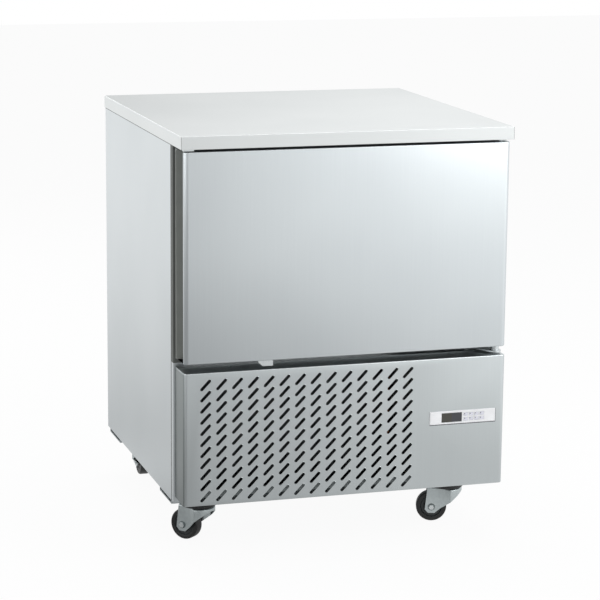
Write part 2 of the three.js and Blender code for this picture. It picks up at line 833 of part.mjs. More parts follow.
// Outline of one slanted slot with round ends, about its own middle.
function slotOutline(x, z) {
  const half = (slotLength - slotWidth) / 2;
  const ends = [...arc(half, 0, slotWidth / 2, -Math.PI / 2, Math.PI / 2, 2),
    ...arc(-half, 0, slotWidth / 2, Math.PI / 2, 1.5 * Math.PI, 2)];
  return ends.map(([u, v]) => [
    x + u * Math.cos(slotTilt) - v * Math.sin(slotTilt),
    z + u * Math.sin(slotTilt) + v * Math.cos(slotTilt),
  ]);
}

function slotTools() {
  const shapes = [];
  for (let column = 0; column < slotColumns; column += 1) {
    for (let row = 0; row < slotRows; row += 1) {
      const x = slotFirstX + column * slotPitchX;
      const z = fasciaZ + slotFirstZ + row * slotPitchZ;
      shapes.push(outline(slotOutline(x, z)));
    }
  }
  const geometry = extruded(shapes, sheet + 2).rotateX(Math.PI / 2);
  return solid(geometry.translate(0, faceY + sheet + 1, 0));
}

function fascia() {
  const plan = fasciaPlan();
  const inner = inset(plan, sheet);
  const back = bodyFront + 1;
  const side = faceSide - sheet;
  const housingX = housingWidth / 2 + housingClearance;
  const housingZ = housingHeight / 2 + housingClearance;
  const z = fasciaZ + bezelZ;
  return cut(standing(plan, fasciaZ, fasciaTop), [
    standing(inner, fasciaZ + sheet, fasciaTop - sheet),
    block(-side, side, bodyFront - 5, back, fasciaZ + sheet, fasciaTop - sheet),
    block(-side, side, faceY + fasciaTopFlange, back, fasciaTop - 2 * sheet, fasciaTop + 1),
    block(-side, side, faceY + fasciaBottomFlange, back, fasciaZ - 1, fasciaZ + 2 * sheet),
    block(bezelX - housingX, bezelX + housingX, faceY - 1, faceY + 2 * sheet, z - housingZ,
      z + housingZ),
    slotTools(),
  ]);
}

const keyPlaces = [];
for (let row = 0; row < keyRows; row += 1) {
  for (let column = 0; column < keyColumns; column += 1) {
    keyPlaces.push([
      keysX + (column - (keyColumns - 1) / 2) * keyPitchX,
      fasciaZ + bezelZ + ((keyRows - 1) / 2 - row) * keyPitchZ,
    ]);
  }
}

const bezelFront = faceY - bezelProud;

// Moulded controller: bevelled bezel on the cover, housing through it, wells for window and keys.
function controllerHousing() {
  const z = fasciaZ + bezelZ;
  const w = bezelWidth / 2;
  const h = bezelHeight / 2;
  const side = [
    [faceY - seat, z - h],
    [faceY - seat, z + h],
    [bezelFront + bezelBevel, z + h],
    [bezelFront, z + h - bezelBevel],
    [bezelFront, z - h + bezelBevel],
    [bezelFront + bezelBevel, z - h],
  ];
  const plan = [
    [bezelX - w + bezelBevel, bezelFront],
    [bezelX + w - bezelBevel, bezelFront],
    [bezelX + w, bezelFront + bezelBevel],
    [bezelX + w, faceY - seat],
    [bezelX - w, faceY - seat],
    [bezelX - w, bezelFront + bezelBevel],
  ];
  const bezel = sideways(side.reverse(), bezelX - w, bezelX + w)
    .intersect(standing(plan, z - h, z + h));
  const housing = block(bezelX - housingWidth / 2, bezelX + housingWidth / 2, faceY - 1,
    faceY + housingDepth, z - housingHeight / 2, z + housingHeight / 2);
  const well = (x, cz, width, height, depth) => block(x - width / 2, x + width / 2, bezelFront - 1,
    bezelFront + depth, cz - height / 2, cz + height / 2);
  const gap = 2 * keyClearance;
  return cut(bezel.add(housing), [
    well(windowX, z, windowWidth + gap, windowHeight + gap, windowThickness + seat),
    ...keyPlaces.map(([x, cz]) =>
      well(x, cz, keyWidth + gap, keyHeight + gap, keyDepth - keyProud + keyTravel + seat)),
  ]);
}

function displayWindow() {
  const z = fasciaZ + bezelZ;
  return block(windowX - windowWidth / 2, windowX + windowWidth / 2, bezelFront,
    bezelFront + windowThickness, z - windowHeight / 2, z + windowHeight / 2);
}

// One key with a slightly smaller, raised face. Its middle is at the origin.
function keyCap() {
  const w = keyWidth / 2;
  const h = keyHeight / 2;
  const face = bezelFront - keyProud;
  return block(-w, w, face + keyProud, face + keyDepth, -h, h)
    .add(block(-w + keyStep, w - keyStep, face, face + keyProud + 1, -h + keyStep, h - keyStep));
}

// ---------------------------------------------------------------- machine compartment
function condenserCoil() {
  const half = coilWidth / 2;
  return finnedCoil(coilX - half, coilX + half, coilY, coilBack, fittedZ, fittedZ + coilHeight,
    coilFins);
}

function fanShroud() {
  const half = coilWidth / 2;
  const z1 = fittedZ + coilHeight;
  return cut(block(coilX - half, coilX + half, shroudY, shroudBack, fittedZ, z1), [
    block(coilX - half + sheet, coilX + half - sheet, shroudY - 1, shroudBack - sheet,
      fittedZ + sheet, z1 - sheet),
    level(machineOpeningRadius, shroudY, shroudBack + 1, coilX, machineFanZ, 36),
  ]);
}

// Hermetic compressor: a domed can on a square foot plate.
function compressor() {
  const r = compressorRadius;
  const z0 = footHeight - 2;
  const z1 = compressorHeight;
  const dome = compressorDome;
  const profile = [
    [0, z0],
    [r - 16, z0],
    [r, z0 + 20],
    [r, z1 - dome],
    [r * 0.9, z1 - dome * 0.45],
    [r * 0.62, z1 - dome * 0.12],
    [0, z1],
  ].map(([a, b]) => new THREE.Vector2(a, b));
  const can = solid(new THREE.LatheGeometry(profile, 28).rotateX(Math.PI / 2));
  const half = compressorFoot / 2;
  return can.add(block(-half, half, -half, half, 0, footHeight));
}

// Folded box with a raised lid at its front and a cable entry at its back.
function electricalBox() {
  const w = boxWidth / 2;
  const d = boxDepth / 2;
  const lid = block(-w + boxRim, w - boxRim, -d - lidRise, -d + 1, boxRim, boxHeight - boxRim);
  return cut(block(-w, w, -d, d, 0, boxHeight).add(lid), [
    block(-w + sheet, w - sheet, -d + sheet, d - sheet, sheet, boxHeight - sheet),
    level(cableRadius + 2, d - sheet - 1, d + 1, 0, boxHeight / 2, 12),
  ]);
}

// A copper line through its bends, with eight sides.
function pipe(points, radius, steps) {
  const sides = 8;
  const section = outline(arc(0, 0, radius, 0, 2 * Math.PI * (1 - 1 / sides), sides - 1));
  const path = new THREE.CatmullRomCurve3(points.map((p) => new THREE.Vector3(...p)), false,
    'catmullrom', 0.3);
  return solid(new THREE.ExtrudeGeometry(section, { steps, bevelEnabled: false, extrudePath: path }));
}

const evaporatorFoot = cellFloor + 2 * seat + dripTrayHeight;

// From the condenser's foot through the filter drier and up to the evaporator.
function liquidLine() {
  const z = deckZ + liquidRise;
  const side = coilX - coilWidth / 2 - lineOffset;
  const y = shroudBack + 3 * lineBend;
  const line = pipe([
    [side + 0.5 * lineBend, coilBack - 0.7 * lineBend, z],
    [side, coilBack + 0.3 * lineBend, z],
    [side, y, z],
    [side, pipeY - 1.3 * lineBend, z + 0.2 * lineBend],
    [liquidX - 2 * lineBend, pipeY, z + 0.7 * lineBend],
    [liquidX, pipeY, z + 2.3 * lineBend],
    [liquidX, pipeY, insulationZ],
    [liquidX, pipeY, evaporatorFoot - seat],
  ], liquidPipe, 34);
  const middle = y + lineBend;
  const drier = level(drierRadius, middle - drierLength / 2, middle + drierLength / 2, side,
    z + lineEnd, 12);
  return line.add(drier);
}

function suctionLine() {
  const z = deckZ + suctionRise;
  const left = compressorX - compressorRadius;
  return pipe([
    [suctionX, pipeY, evaporatorFoot - seat],
    [suctionX, pipeY, insulationZ],
    [suctionX, pipeY, z + 3 * lineBend],
    [suctionX + lineBend, pipeY - 0.7 * lineBend, z + 0.7 * lineBend],
    [left - 2 * lineBend, compressorY + lineBend, z],
    [left - lineOffset, compressorY, z],
    [left - lineEnd, compressorY, z],
  ], suctionPipe, 28);
}

function dischargeLine() {
  const z = deckZ + dischargeRise;
  const start = compressorX + compressorRadius;
  const right = coilX + coilWidth / 2;
  return pipe([
    [start + lineEnd, compressorY, z],
    [start + 0.8 * lineBend, compressorY - 0.2 * lineBend, z],
    [start + lineBend, compressorY - 2 * lineBend, z + lineBend],
    [start + lineBend, shroudBack + 3.3 * lineBend, z + 1.7 * lineBend],
    [right + 0.7 * lineBend, shroudBack + 0.3 * lineBend, z + 2.3 * lineBend],
    [right + 0.8 * lineBend, coilBack + 0.3 * lineBend, z + 3 * lineBend],
    [right + 0.5 * lineBend, coilBack - 0.8 * lineBend, z + 3.1 * lineBend],
    [right + lineEnd, coilBack - 0.9 * lineBend, z + 3.1 * lineBend],
  ], liquidPipe, 28);
}

function cableGland() {
  const z = deckZ + cableZ;
  return level(cableRadius * 1.5, bodyBack + seat, halfDepth - seat, cableX, z, 6)
    .add(level(cableRadius, bodyBack - 2 * cableRadius, bodyBack + 1, cableX, z, 12))
    .subtract(level(cableRadius * 0.55, bodyBack - 3 * cableRadius, halfDepth + 1, cableX, z, 10));
}

// ---------------------------------------------------------------- casters
const crownUnder = crownTop - forkSheet;
const cheekOutside = cheekInside + forkSheet;
const skirtAngle = 1.85; // where the skirt's round part begins, from the trailing side

// Plan outline of the fork along the trail direction, anticlockwise, grown inwards by a gap.
function forkPlan(gap, end) {
  const r = crownRadius - gap;
  const side = cheekOutside - gap;
  return [
    [end, -side],
    [end, side],
    [cheekStart, side],
    ...arc(0, 0, r, skirtAngle, 2 * Math.PI - skirtAngle, 12),
    [cheekStart, -side],
  ];
}

// Top plate with the ball race and the king pin that carries the fork.
function casterPlate() {
  const z1 = casterHeight;
  const z0 = z1 - plateThickness;
  const neck = crownTop + turnedGap;
  return joined([
    block(-plateLength / 2, plateLength / 2, -plateWidth / 2, plateWidth / 2, z0, z1),
    upright(raceRadius, neck + raceNeckHeight, z0 + 1, 0, 0, 18),
    upright(raceNeck, neck, neck + raceNeckHeight + 1, 0, 0, 12),
    upright(kingPin, crownUnder - turnedGap - 1, neck + 1, 0, 0, 12),
    upright(kingHead, crownUnder - turnedGap - kingHeadHeight, crownUnder - turnedGap, 0, 0, 12),
  ]);
}

// Stamped fork: round crown, curved skirt at the leading side and two raked cheeks.
function casterFork() {
  const shell = cut(standing(forkPlan(0, cheekEnd), cheekFoot, crownTop), [
    standing(forkPlan(forkSheet, cheekEnd + 1), cheekFoot - 1, crownUnder),
  ]);
  const slope = [
    [-crownRadius - 1, skirtFoot],
    [casterTrail - 8, cheekFoot],
    [casterTrail + 8, cheekFoot],
    [cheekEnd - 1, cheekFoot + 9],
    [casterTrail + 10, crownTop],
    [-crownRadius - 1, crownTop],
  ];
  const raked = facing(slope, -crownRadius - 1, crownRadius + 1);
  return cut(shell.intersect(raked), [
    upright(kingPin + runningClearance, crownUnder - 1, crownTop + 1, 0, 0, 16),
    level(axleRadius + runningClearance, -crownRadius, crownRadius, casterTrail, wheelRadius, 12),
  ]);
}

// Wheel about the Y axis, one closed profile turned round its bore.
function casterWheel() {
  const bore = axleRadius + runningClearance;
  const half = wheelWidth / 2;
  const hub = hubWidth / 2;
  const r = wheelRadius;
  const profile = [
    [bore, -hub],
    [hubRadius, -hub],
    [hubRadius, -half + webDepth],
    [r - rimWidth, -half + webDepth],
    [r - rimWidth + 1, -half],
    [r - treadRound, -half],
    [r, -half + treadRound],
    [r, half - treadRound],
    [r - treadRound, half],
    [r - rimWidth + 1, half],
    [r - rimWidth, half - webDepth],
    [hubRadius, half - webDepth],
    [hubRadius, hub],
    [bore, hub],
    [bore, -hub],
  ].map(([a, b]) => new THREE.Vector2(a, b));
  return solid(new THREE.LatheGeometry(profile, 20));
}

function casterAxle() {
  const end = cheekOutside + turnedGap;
  return joined([
    level(axleRadius, -end - 1, end + 1, 0, 0, 12),
    level(axleHead, -end - axleHeadHeight, -end, 0, 0, 6),
    level(axleHead, end, end + axleHeadHeight, 0, 0, 6),
  ]);
}

// A caster under one corner; its wheel trails the way the angle says, from the left towards the back.
function caster(name, x, y, degrees) {
  const corner = new THREE.Group();
  corner.position.set(x, y, 0);
  place(corner, `caster_plate_${name}`, casterPlate(), zincPlated);
  const swivel = new THREE.Group();
  swivel.rotation.z = Math.PI - degrees * Math.PI / 180;
  corner.add(swivel);
  place(swivel, `caster_fork_${name}`, casterFork(), zincPlated);
  const wheel = place(swivel, `caster_wheel_${name}`, casterWheel(), blackRubber);
  wheel.position.set(casterTrail, 0, wheelRadius);
  const axle = place(swivel, `caster_axle_${name}`, casterAxle(), zincPlated);
  axle.position.copy(wheel.position);
  group.add(corner);
}

// ---------------------------------------------------------------- assembly
place(group, 'worktop', worktop(), stainless);
place(group, 'side_panel_left', sidePanel(-1), stainless);
place(group, 'side_panel_right', sidePanel(1), stainless);
place(group, 'back_panel', backPanel(), galvanised);
place(group, 'front_frame', frontFrame(), stainless);
place(group, 'base_frame', baseFrame(), galvanised);
place(group, 'body_insulation', bodyInsulation(), foam);
place(group, 'cavity_liner', cavityLiner(), innerStainless);

place(group, 'tray_rack_left', trayRack(-1), innerStainless);
place(group, 'tray_rack_right', trayRack(1), innerStainless);
place(group, 'evaporator_coil', evaporatorCoil(), finAluminium);
place(group, 'evaporator_fan_cover', fanCover(), innerStainless);
const cellFan = place(group, 'evaporator_fan', fanRotor(cellFanRadius, cellFanDepth, cellFanHub),
  greyPlastic);
cellFan.position.set(0, fanCoverY + sheet / 2, cellFanZ);
const cellMotor = place(group, 'evaporator_fan_motor',
  fanMotor(fanOpeningRadius + armOverlap, cellFanDepth), blackPaint);
cellMotor.position.copy(cellFan.position);
place(group, 'drip_tray', dripTray(), innerStainless);
place(group, 'probe_gland', probeGland(), greyPlastic);

place(group, 'door_skin', doorSkin(), stainless);
place(group, 'door_insulation', doorInsulation(), foam);
place(group, 'door_inner_panel', doorInnerPanel(), innerStainless);
place(group, 'door_gasket', doorGasket(), greyRubber);
place(group, 'door_hinge_lower', lowerHinge(), stainless);
place(group, 'door_hinge_upper', upperHinge(), stainless);
place(group, 'door_switch_tab', switchTab(), zincPlated);

place(group, 'fascia', fascia(), stainless);
place(group, 'controller_housing', controllerHousing(), whitePlastic);
place(group, 'display_window', displayWindow(), darkGlass);
keyPlaces.forEach(([x, z], i) => {
  const key = place(group, `key_${i + 1}`, keyCap(), keyPlastic);
  key.position.set(x, 0, z);
});

place(group, 'condenser_coil', condenserCoil(), finAluminium);
place(group, 'condenser_fan_shroud', fanShroud(), galvanised);
const coilFan = place(group, 'condenser_fan', fanRotor(machineFanRadius, machineFanDepth, machineFanHub),
  greyPlastic);
coilFan.position.set(coilX, shroudBack - sheet / 2, machineFanZ);
const coilMotor = place(group, 'condenser_fan_motor',
  fanMotor(machineOpeningRadius + armOverlap, machineFanDepth), blackPaint);
coilMotor.position.copy(coilFan.position);
const pump = place(group, 'compressor', compressor(), blackPaint);
pump.position.set(compressorX, compressorY, fittedZ);
const box = place(group, 'electrical_box', electricalBox(), galvanised);
box.position.set(boxX, boxY, fittedZ);
place(group, 'liquid_line', liquidLine(), copper);
place(group, 'suction_line', suctionLine(), copper);
place(group, 'discharge_line', dischargeLine(), copper);
place(group, 'cable_gland', cableGland(), blackRubber);

caster('front_left', -casterX, frontCasterY, 48);
caster('front_right', casterX, frontCasterY, 18);
caster('rear_left', -casterX, rearCasterY, 90);
caster('rear_right', casterX, rearCasterY, 35);

export default group;
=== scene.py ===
"""A blast chiller on casters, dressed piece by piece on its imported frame. Metres, +Z up, front at -Y."""
import math

import bmesh
import bpy
from mathutils import Matrix, Vector


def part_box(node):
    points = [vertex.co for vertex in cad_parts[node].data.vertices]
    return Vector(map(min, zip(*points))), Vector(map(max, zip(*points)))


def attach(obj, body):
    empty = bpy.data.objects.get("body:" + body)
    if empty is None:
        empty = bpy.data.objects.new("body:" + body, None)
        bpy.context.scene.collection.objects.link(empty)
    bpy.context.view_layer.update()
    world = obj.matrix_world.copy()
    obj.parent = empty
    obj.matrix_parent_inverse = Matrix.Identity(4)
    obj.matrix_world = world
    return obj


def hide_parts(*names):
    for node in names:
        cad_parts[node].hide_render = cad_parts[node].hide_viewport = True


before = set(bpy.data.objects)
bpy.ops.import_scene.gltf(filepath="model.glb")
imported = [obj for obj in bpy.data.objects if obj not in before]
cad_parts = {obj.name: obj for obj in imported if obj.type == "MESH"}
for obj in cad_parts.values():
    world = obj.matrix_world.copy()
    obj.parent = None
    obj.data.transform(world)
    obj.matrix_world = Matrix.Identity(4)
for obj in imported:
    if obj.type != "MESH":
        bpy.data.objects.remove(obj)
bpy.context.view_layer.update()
scene = bpy.context.scene
mm = 0.001
quarter = math.pi / 2

# ------------------------------------------------------------------ camera
# Stands to the left of the front and a little above the worktop, far off with a long lens, so that
# the cabinet's uprights stay nearly parallel.
camera_lens = 136.3
camera_yaw, camera_pitch, camera_roll = 0.2967, 0.2058, 0.0092
camera_distance = 5.6579
camera_aim = Vector((5.08 * mm, 0, 525.4 * mm))

forward = Vector((math.sin(camera_yaw) * math.cos(camera_pitch),
                  math.cos(camera_yaw) * math.cos(camera_pitch), -math.sin(camera_pitch)))
level_right = Vector((math.cos(camera_yaw), -math.sin(camera_yaw), 0))
level_up = level_right.cross(forward)
right = math.cos(camera_roll) * level_right + math.sin(camera_roll) * level_up
up = right.cross(forward)
camera = bpy.data.objects.new("camera", bpy.data.cameras.new("camera"))
camera.data.lens = camera_lens
camera.data.sensor_width = 36
camera.data.clip_end = 60
camera.matrix_world = Matrix.Translation(camera_aim - camera_distance * forward) @ Matrix(
    (right, up, -forward)).transposed().to_4x4()
scene.collection.objects.link(camera)
scene.camera = camera

# ------------------------------------------------------------------ studio
# A white sweep under four soft lamps. The floor keeps a faint shadow of the cabinet, and what steel
# and acrylic mirror is white with a few shaded places.
scene.view_settings.view_transform = "Standard"
dark_side, light_side = 6, 7  # the sockets where a colour mix takes its two colours


def tint(code):
    """An sRGB hex colour as Blender's linear RGBA."""
    channels = [int(code[i:i + 2], 16) / 255 for i in (1, 3, 5)]
    return (*[c / 12.92 if c <= 0.04045 else ((c + 0.055) / 1.055) ** 2.4 for c in channels], 1)


def feed(tree, node, inputs):
    """Sets inputs. Each is a value, a socket, or a node whose first output in use it takes."""
    for key, value in inputs.items():
        if isinstance(value, bpy.types.Node):
            value = next(socket for socket in value.outputs if socket.enabled)
        if isinstance(value, bpy.types.NodeSocket):
            tree.links.new(value, node.inputs[key])
        else:
            node.inputs[key].default_value = value


def add(tree, kind, inputs=None, stops=(), **settings):
    """One node with its settings, its inputs and, on a colour ramp, its stops of place and colour."""
    made = tree.nodes.new(kind)
    for key, value in settings.items():
        setattr(made, key, value)
    feed(tree, made, inputs or {})
    for _ in stops[2:]:
        made.color_ramp.elements.new(0.5)
    if stops:
        for element, (position, colour) in zip(made.color_ramp.elements, stops):
            element.position = position
            element.color = colour
    return made


def begun(name):
    """A new material with its node tree, its shader and the piece's own coordinates."""
    material = bpy.data.materials.new(name)
    material.use_nodes = True
    tree = material.node_tree
    place = add(tree, "ShaderNodeTexCoord").outputs["Object"]
    return material, tree, tree.nodes["Principled BSDF"], place


def greys(*stops):
    """Stops of a ramp in grey, from pairs of place and strength."""
    return [(place, (strength, strength, strength, 1)) for place, strength in stops]


def seen_rays(tree):
    """1 for what the camera sees by itself, in a gloss or through glass."""
    rays = add(tree, "ShaderNodeLightPath").outputs
    gloss = add(tree, "ShaderNodeMath", {0: rays["Is Camera Ray"], 1: rays["Is Glossy Ray"]},
                operation="MAXIMUM")
    return add(tree, "ShaderNodeMath", {0: gloss, 1: rays["Is Transmission Ray"]},
               operation="MAXIMUM")


def white_but(tree, tone):
    """White, but a tone of its own where a gloss mirrors it."""
    gloss = add(tree, "ShaderNodeLightPath").outputs["Is Glossy Ray"]
    return add(tree, "ShaderNodeMix", {"Factor": gloss, dark_side: tint("#ffffff"),
                                       light_side: tone}, data_type="RGBA")


world = bpy.data.worlds.new("studio")
world.use_nodes = True
scene.world = world
sky = world.node_tree
sky.nodes.clear()
room = add(sky, "ShaderNodeBackground", {"Color": tint("#c8cacb"), "Strength": 0.75})
# In a gloss the backdrop is white to the right and shaded straight ahead and straight behind.
towards = add(sky, "ShaderNodeTexCoord").outputs["Generated"]
sideways = add(sky, "ShaderNodeSeparateXYZ", {"Vector": towards})
turn = add(sky, "ShaderNodeMapRange", {"Value": sideways, "From Min": -1.0, "From Max": 1.0})
shaded = add(sky, "ShaderNodeValToRGB", {"Fac": turn},
             greys((0.30, 0.95), (0.50, 0.5), (0.57, 0.5), (0.65, 1.0)))
backdrop = add(sky, "ShaderNodeBackground", {"Color": white_but(sky, shaded), "Strength": 1.0})
either = add(sky, "ShaderNodeMixShader", {0: seen_rays(sky), 1: room, 2: backdrop})
add(sky, "ShaderNodeOutputWorld", {"Surface": either})

floor_mesh = bpy.data.meshes.new("floor")
floor_half = 14
floor_mesh.from_pydata([(-floor_half, -floor_half, 0), (floor_half, -floor_half, 0),
                        (floor_half, floor_half, 0), (-floor_half, floor_half, 0)], [],
                       [(0, 1, 2, 3)])
floor = bpy.data.objects.new("floor", floor_mesh)
scene.collection.objects.link(floor)
paper, paper_tree, unused_shader, spot = begun("white paper sweep")
paper_tree.nodes.remove(unused_shader)
matt = add(paper_tree, "ShaderNodeBsdfDiffuse", {"Color": tint("#f4f4f3")})
# In a gloss the paper darkens towards the cabinet, as it does between the lamps of a real studio.
reach = add(paper_tree, "ShaderNodeVectorMath", {0: spot}, operation="LENGTH")
beside = add(paper_tree, "ShaderNodeSeparateXYZ", {"Vector": spot}).outputs
range_inputs = ("Value", "From Min", "From Max", "To Min", "To Max")
distance, to_right, in_front, far_left, behind_it = [
    add(paper_tree, "ShaderNodeMapRange", dict(zip(range_inputs, given))) for given in (
        # what each follows, between which two places, and its strength at both
        (reach, 0.0, 6.0, 0.0, 1.0),
        (beside["X"], -0.2, 1.3, 0.55, 1.2),
        (beside["Y"], -0.2, 0.4, 1.0, 0.0),
        (beside["X"], -0.6, -0.2, 0.62, 1.0),
        (reach, 0.8, 4.8, 0.8, 1.1))]
falloff = add(paper_tree, "ShaderNodeValToRGB", {"Fac": distance},
              greys((0.1, 1.0), (0.17, 0.78), (0.3, 0.89), (0.5, 0.95), (0.8, 1.0)))
across_front = add(paper_tree, "ShaderNodeMath", {0: to_right, 1: far_left}, operation="MULTIPLY")
shade = add(paper_tree, "ShaderNodeMix", {"Factor": in_front, "A": behind_it, "B": across_front},
            data_type="FLOAT")
toned = add(paper_tree, "ShaderNodeVectorMath", {0: falloff, "Scale": shade}, operation="SCALE")
glow = add(paper_tree, "ShaderNodeEmission", {"Color": white_but(paper_tree, toned),
                                              "Strength": 1.0})
share = add(paper_tree, "ShaderNodeMath", {0: seen_rays(paper_tree), 1: 0.94},
            operation="MULTIPLY")
lit = add(paper_tree, "ShaderNodeMixShader", {0: share, 1: matt, 2: glow})
feed(paper_tree, paper_tree.nodes["Material Output"], {"Surface": lit})
floor_mesh.materials.append(paper)

lamps = {
    # name: place, aim, size, power in watts
    "key_softbox": ((2.6, -3.0, 2.5), (0.2, -0.3, 0.75), 2.6, 78),
    "fill_softbox": ((-3.4, -1.6, 1.9), (-0.3, 0, 0.6), 2.0, 20),
    "top_softbox": ((0.3, 0.6, 3.6), (0, 0, 0.9), 2.6, 46),
    "rear_softbox": ((-1.5, 3.6, 2.2), (0, 0.2, 0.6), 2.2, 30),
}
for name, (place, aim, size, power) in lamps.items():
    lamp = bpy.data.lights.new(name, "AREA")
    lamp.size = size
    lamp.energy = power
    holder = bpy.data.objects.new(name, lamp)
    holder.location = place
    holder.rotation_euler = (Vector(aim) - Vector(place)).to_track_quat("-Z", "Y").to_euler()
    scene.collection.objects.link(holder)

# ------------------------------------------------------------------ worktop
# One sheet of 304 stainless steel folded down on all four sides into a shallow tray. It drops over
# the cabinet and overhangs the door, with a deep return that closes the overhang from below.


def brushed_steel(name, dark, light, grain, roughness=0.36, dull=None, shade_beyond=0.0):
    """304 stainless brushed with a fine belt: long parallel lines in a soft, cloudy sheen. The real
    lines are 0.1 mm apart and would not show, so they are drawn 3 mm wide and very faint. The
    return on the left, beyond a distance from the middle, can take a darker colour as painted shade."""
    material, tree, shader, place = begun(name)
    along = add(tree, "ShaderNodeMapping", {"Vector": place, "Scale": grain})
    lines = add(tree, "ShaderNodeTexNoise", {"Vector": along, "Scale": 1.0, "Detail": 3.0,
                                             "Roughness": 0.6})
    clouds = add(tree, "ShaderNodeTexNoise", {"Vector": place, "Scale": 2.6, "Detail": 2.0,
                                              "Roughness": 0.45})
    both = add(tree, "ShaderNodeMix", {"Factor": 0.75, "A": lines, "B": clouds},
               data_type="FLOAT")
    spread = add(tree, "ShaderNodeMapRange", {"Value": both, "From Min": 0.2, "From Max": 0.8})
    colour = add(tree, "ShaderNodeMix", {"Factor": spread, dark_side: tint(dark),
                                         light_side: tint(light)}, data_type="RGBA")
    # Painted shade: the sheet beyond the given distance on the left turns to the darker colour.
    if dull:
        across = add(tree, "ShaderNodeSeparateXYZ", {"Vector": place})
        left_return_shade = add(tree, "ShaderNodeMapRange", {"Value": across, "From Min": -shade_beyond,
                                                   "From Max": -shade_beyond - 2 * mm})
        colour = add(tree, "ShaderNodeMix", {"Factor": left_return_shade, dark_side: colour,
                                             light_side: tint(dull)}, data_type="RGBA")
    rough = add(tree, "ShaderNodeMapRange", {"Value": lines, "To Min": roughness - 0.03,
                                             "To Max": roughness + 0.03})
    relief = add(tree, "ShaderNodeBump", {"Height": lines, "Strength": 0.05,
                                          "Distance": 0.2 * mm})
    feed(tree, shader, {"Metallic": 1.0, "Base Color": colour, "Roughness": rough,
                        "Normal": relief})
    return material


def link(name, mesh, material):
    """An object at the origin that holds a finished mesh in one material."""
    mesh.materials.clear()
    mesh.materials.append(material)
    piece = bpy.data.objects.new(name, mesh)
    scene.collection.objects.link(piece)
    return piece


def baked(piece):
    """The piece's mesh with its modifiers worked into it, and the modifiers gone."""
    bpy.context.view_layer.update()
    graph = bpy.context.evaluated_depsgraph_get()
    mesh = bpy.data.meshes.new_from_object(piece.evaluated_get(graph), depsgraph=graph)
    piece.modifiers.clear()
    piece.data = mesh
    return piece


def set_on(piece, body, slot, *nodes):
    """The piece moves with its body and hides the CAD nodes that it replaces. The slot is not used."""
    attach(piece, body)
    if nodes:
        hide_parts(*nodes)
    return piece


def smooth(mesh, angle=40):
    mesh.shade_smooth()
    mesh.set_sharp_from_angle(angle=math.radians(angle))


def simplified(bm):
    """Doubles merged, and the triangles of each flat face made one face."""
    bmesh.ops.remove_doubles(bm, verts=bm.verts, dist=0.002 * mm)
    bmesh.ops.dissolve_limit(bm, angle_limit=math.radians(0.5), verts=bm.verts, edges=bm.edges)


def round_edges(piece, edge, angle=40):
    rounding = piece.modifiers.new("broken edge", "BEVEL")
    rounding.width = edge
    rounding.segments = 2
    rounding.limit_method = "ANGLE"
    rounding.angle_limit = math.radians(angle)
    rounding.harden_normals = True
    return baked(piece)


def finished_copy(node, material, edge, angle=40):
    """A copy of a CAD piece whose sharp sheet edges are broken by a small round."""
    bm = bmesh.new()
    bm.from_mesh(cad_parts[node].data)
    simplified(bm)
    bm.verts.index_update()
    mesh = bpy.data.meshes.new(f"{node}_finished")
    mesh.from_pydata([v.co.copy() for v in bm.verts], [],
                     [[v.index for v in face.verts] for face in bm.faces])
    bm.free()
    smooth(mesh, angle)
    piece = link(f"{node}_finished", mesh, material)
    return round_edges(piece, edge, angle) if edge else piece


def broken_edges(node, material, slot, edge, body="cabinet", angle=40):
    return set_on(finished_copy(node, material, edge, angle), body, slot, node)


def quads(bm, first, second):
    """Faces between two rings of equally many vertices."""
    for i in range(len(first)):
        j = (i + 1) % len(first)
        bm.faces.new((first[i], first[j], second[j], second[i]))


def loft(bm, rings):
    """Quads between rings of equally many points, and a face over each end."""
    rows = [[bm.verts.new(point) for point in ring] for ring in rings]
    for lower, upper in zip(rows, rows[1:]):
        quads(bm, lower, upper)
    bm.faces.new(rows[0][::-1])
    bm.faces.new(rows[-1])


def slab(bm, low, high):
    """A block between its lowest and its highest corner."""
    (x0, y0, z0), (x1, y1, z1) = low, high
    loft(bm, [[(x0, y0, z), (x1, y0, z), (x1, y1, z), (x0, y1, z)] for z in (z0, z1)])


def placed(bm, matrix, build, *given):
    """Adds a solid that is built apart and moved by a matrix."""
    apart = bmesh.new()
    build(apart, *given)
    bmesh.ops.transform(apart, verts=apart.verts, matrix=matrix)
    mesh = bpy.data.meshes.new("apart")
    apart.to_mesh(mesh)
    apart.free()
    bm.from_mesh(mesh)


def shape_of(name, material, *solids, angle=40):
    """An object of solids, each given as its builder and what the builder takes. Doubles are
    merged, faces turned outwards and flat faces kept crisp."""
    bm = bmesh.new()
    for build, *given in solids:
        build(bm, *given)
    bmesh.ops.remove_doubles(bm, verts=bm.verts, dist=0.005 * mm)
    bmesh.ops.recalc_face_normals(bm, faces=bm.faces)
    mesh = bpy.data.meshes.new(name)
    bm.to_mesh(mesh)
    bm.free()
    smooth(mesh, angle)
    return link(name, mesh, material)


def carve(piece, *cutters):
    """Cuts solids out of a piece and leaves it a plain mesh."""
    for cutter in cutters:
        away = piece.modifiers.new("cut", "BOOLEAN")
        away.operation = "DIFFERENCE"
        away.solver = "EXACT"
        away.object = cutter
    baked(piece)
    for cutter in cutters:
        bpy.data.objects.remove(cutter)
    bm = bmesh.new()
    bm.from_mesh(piece.data)
    simplified(bm)
    bm.to_mesh(piece.data)
    bm.free()
    smooth(piece.data)
    return piece


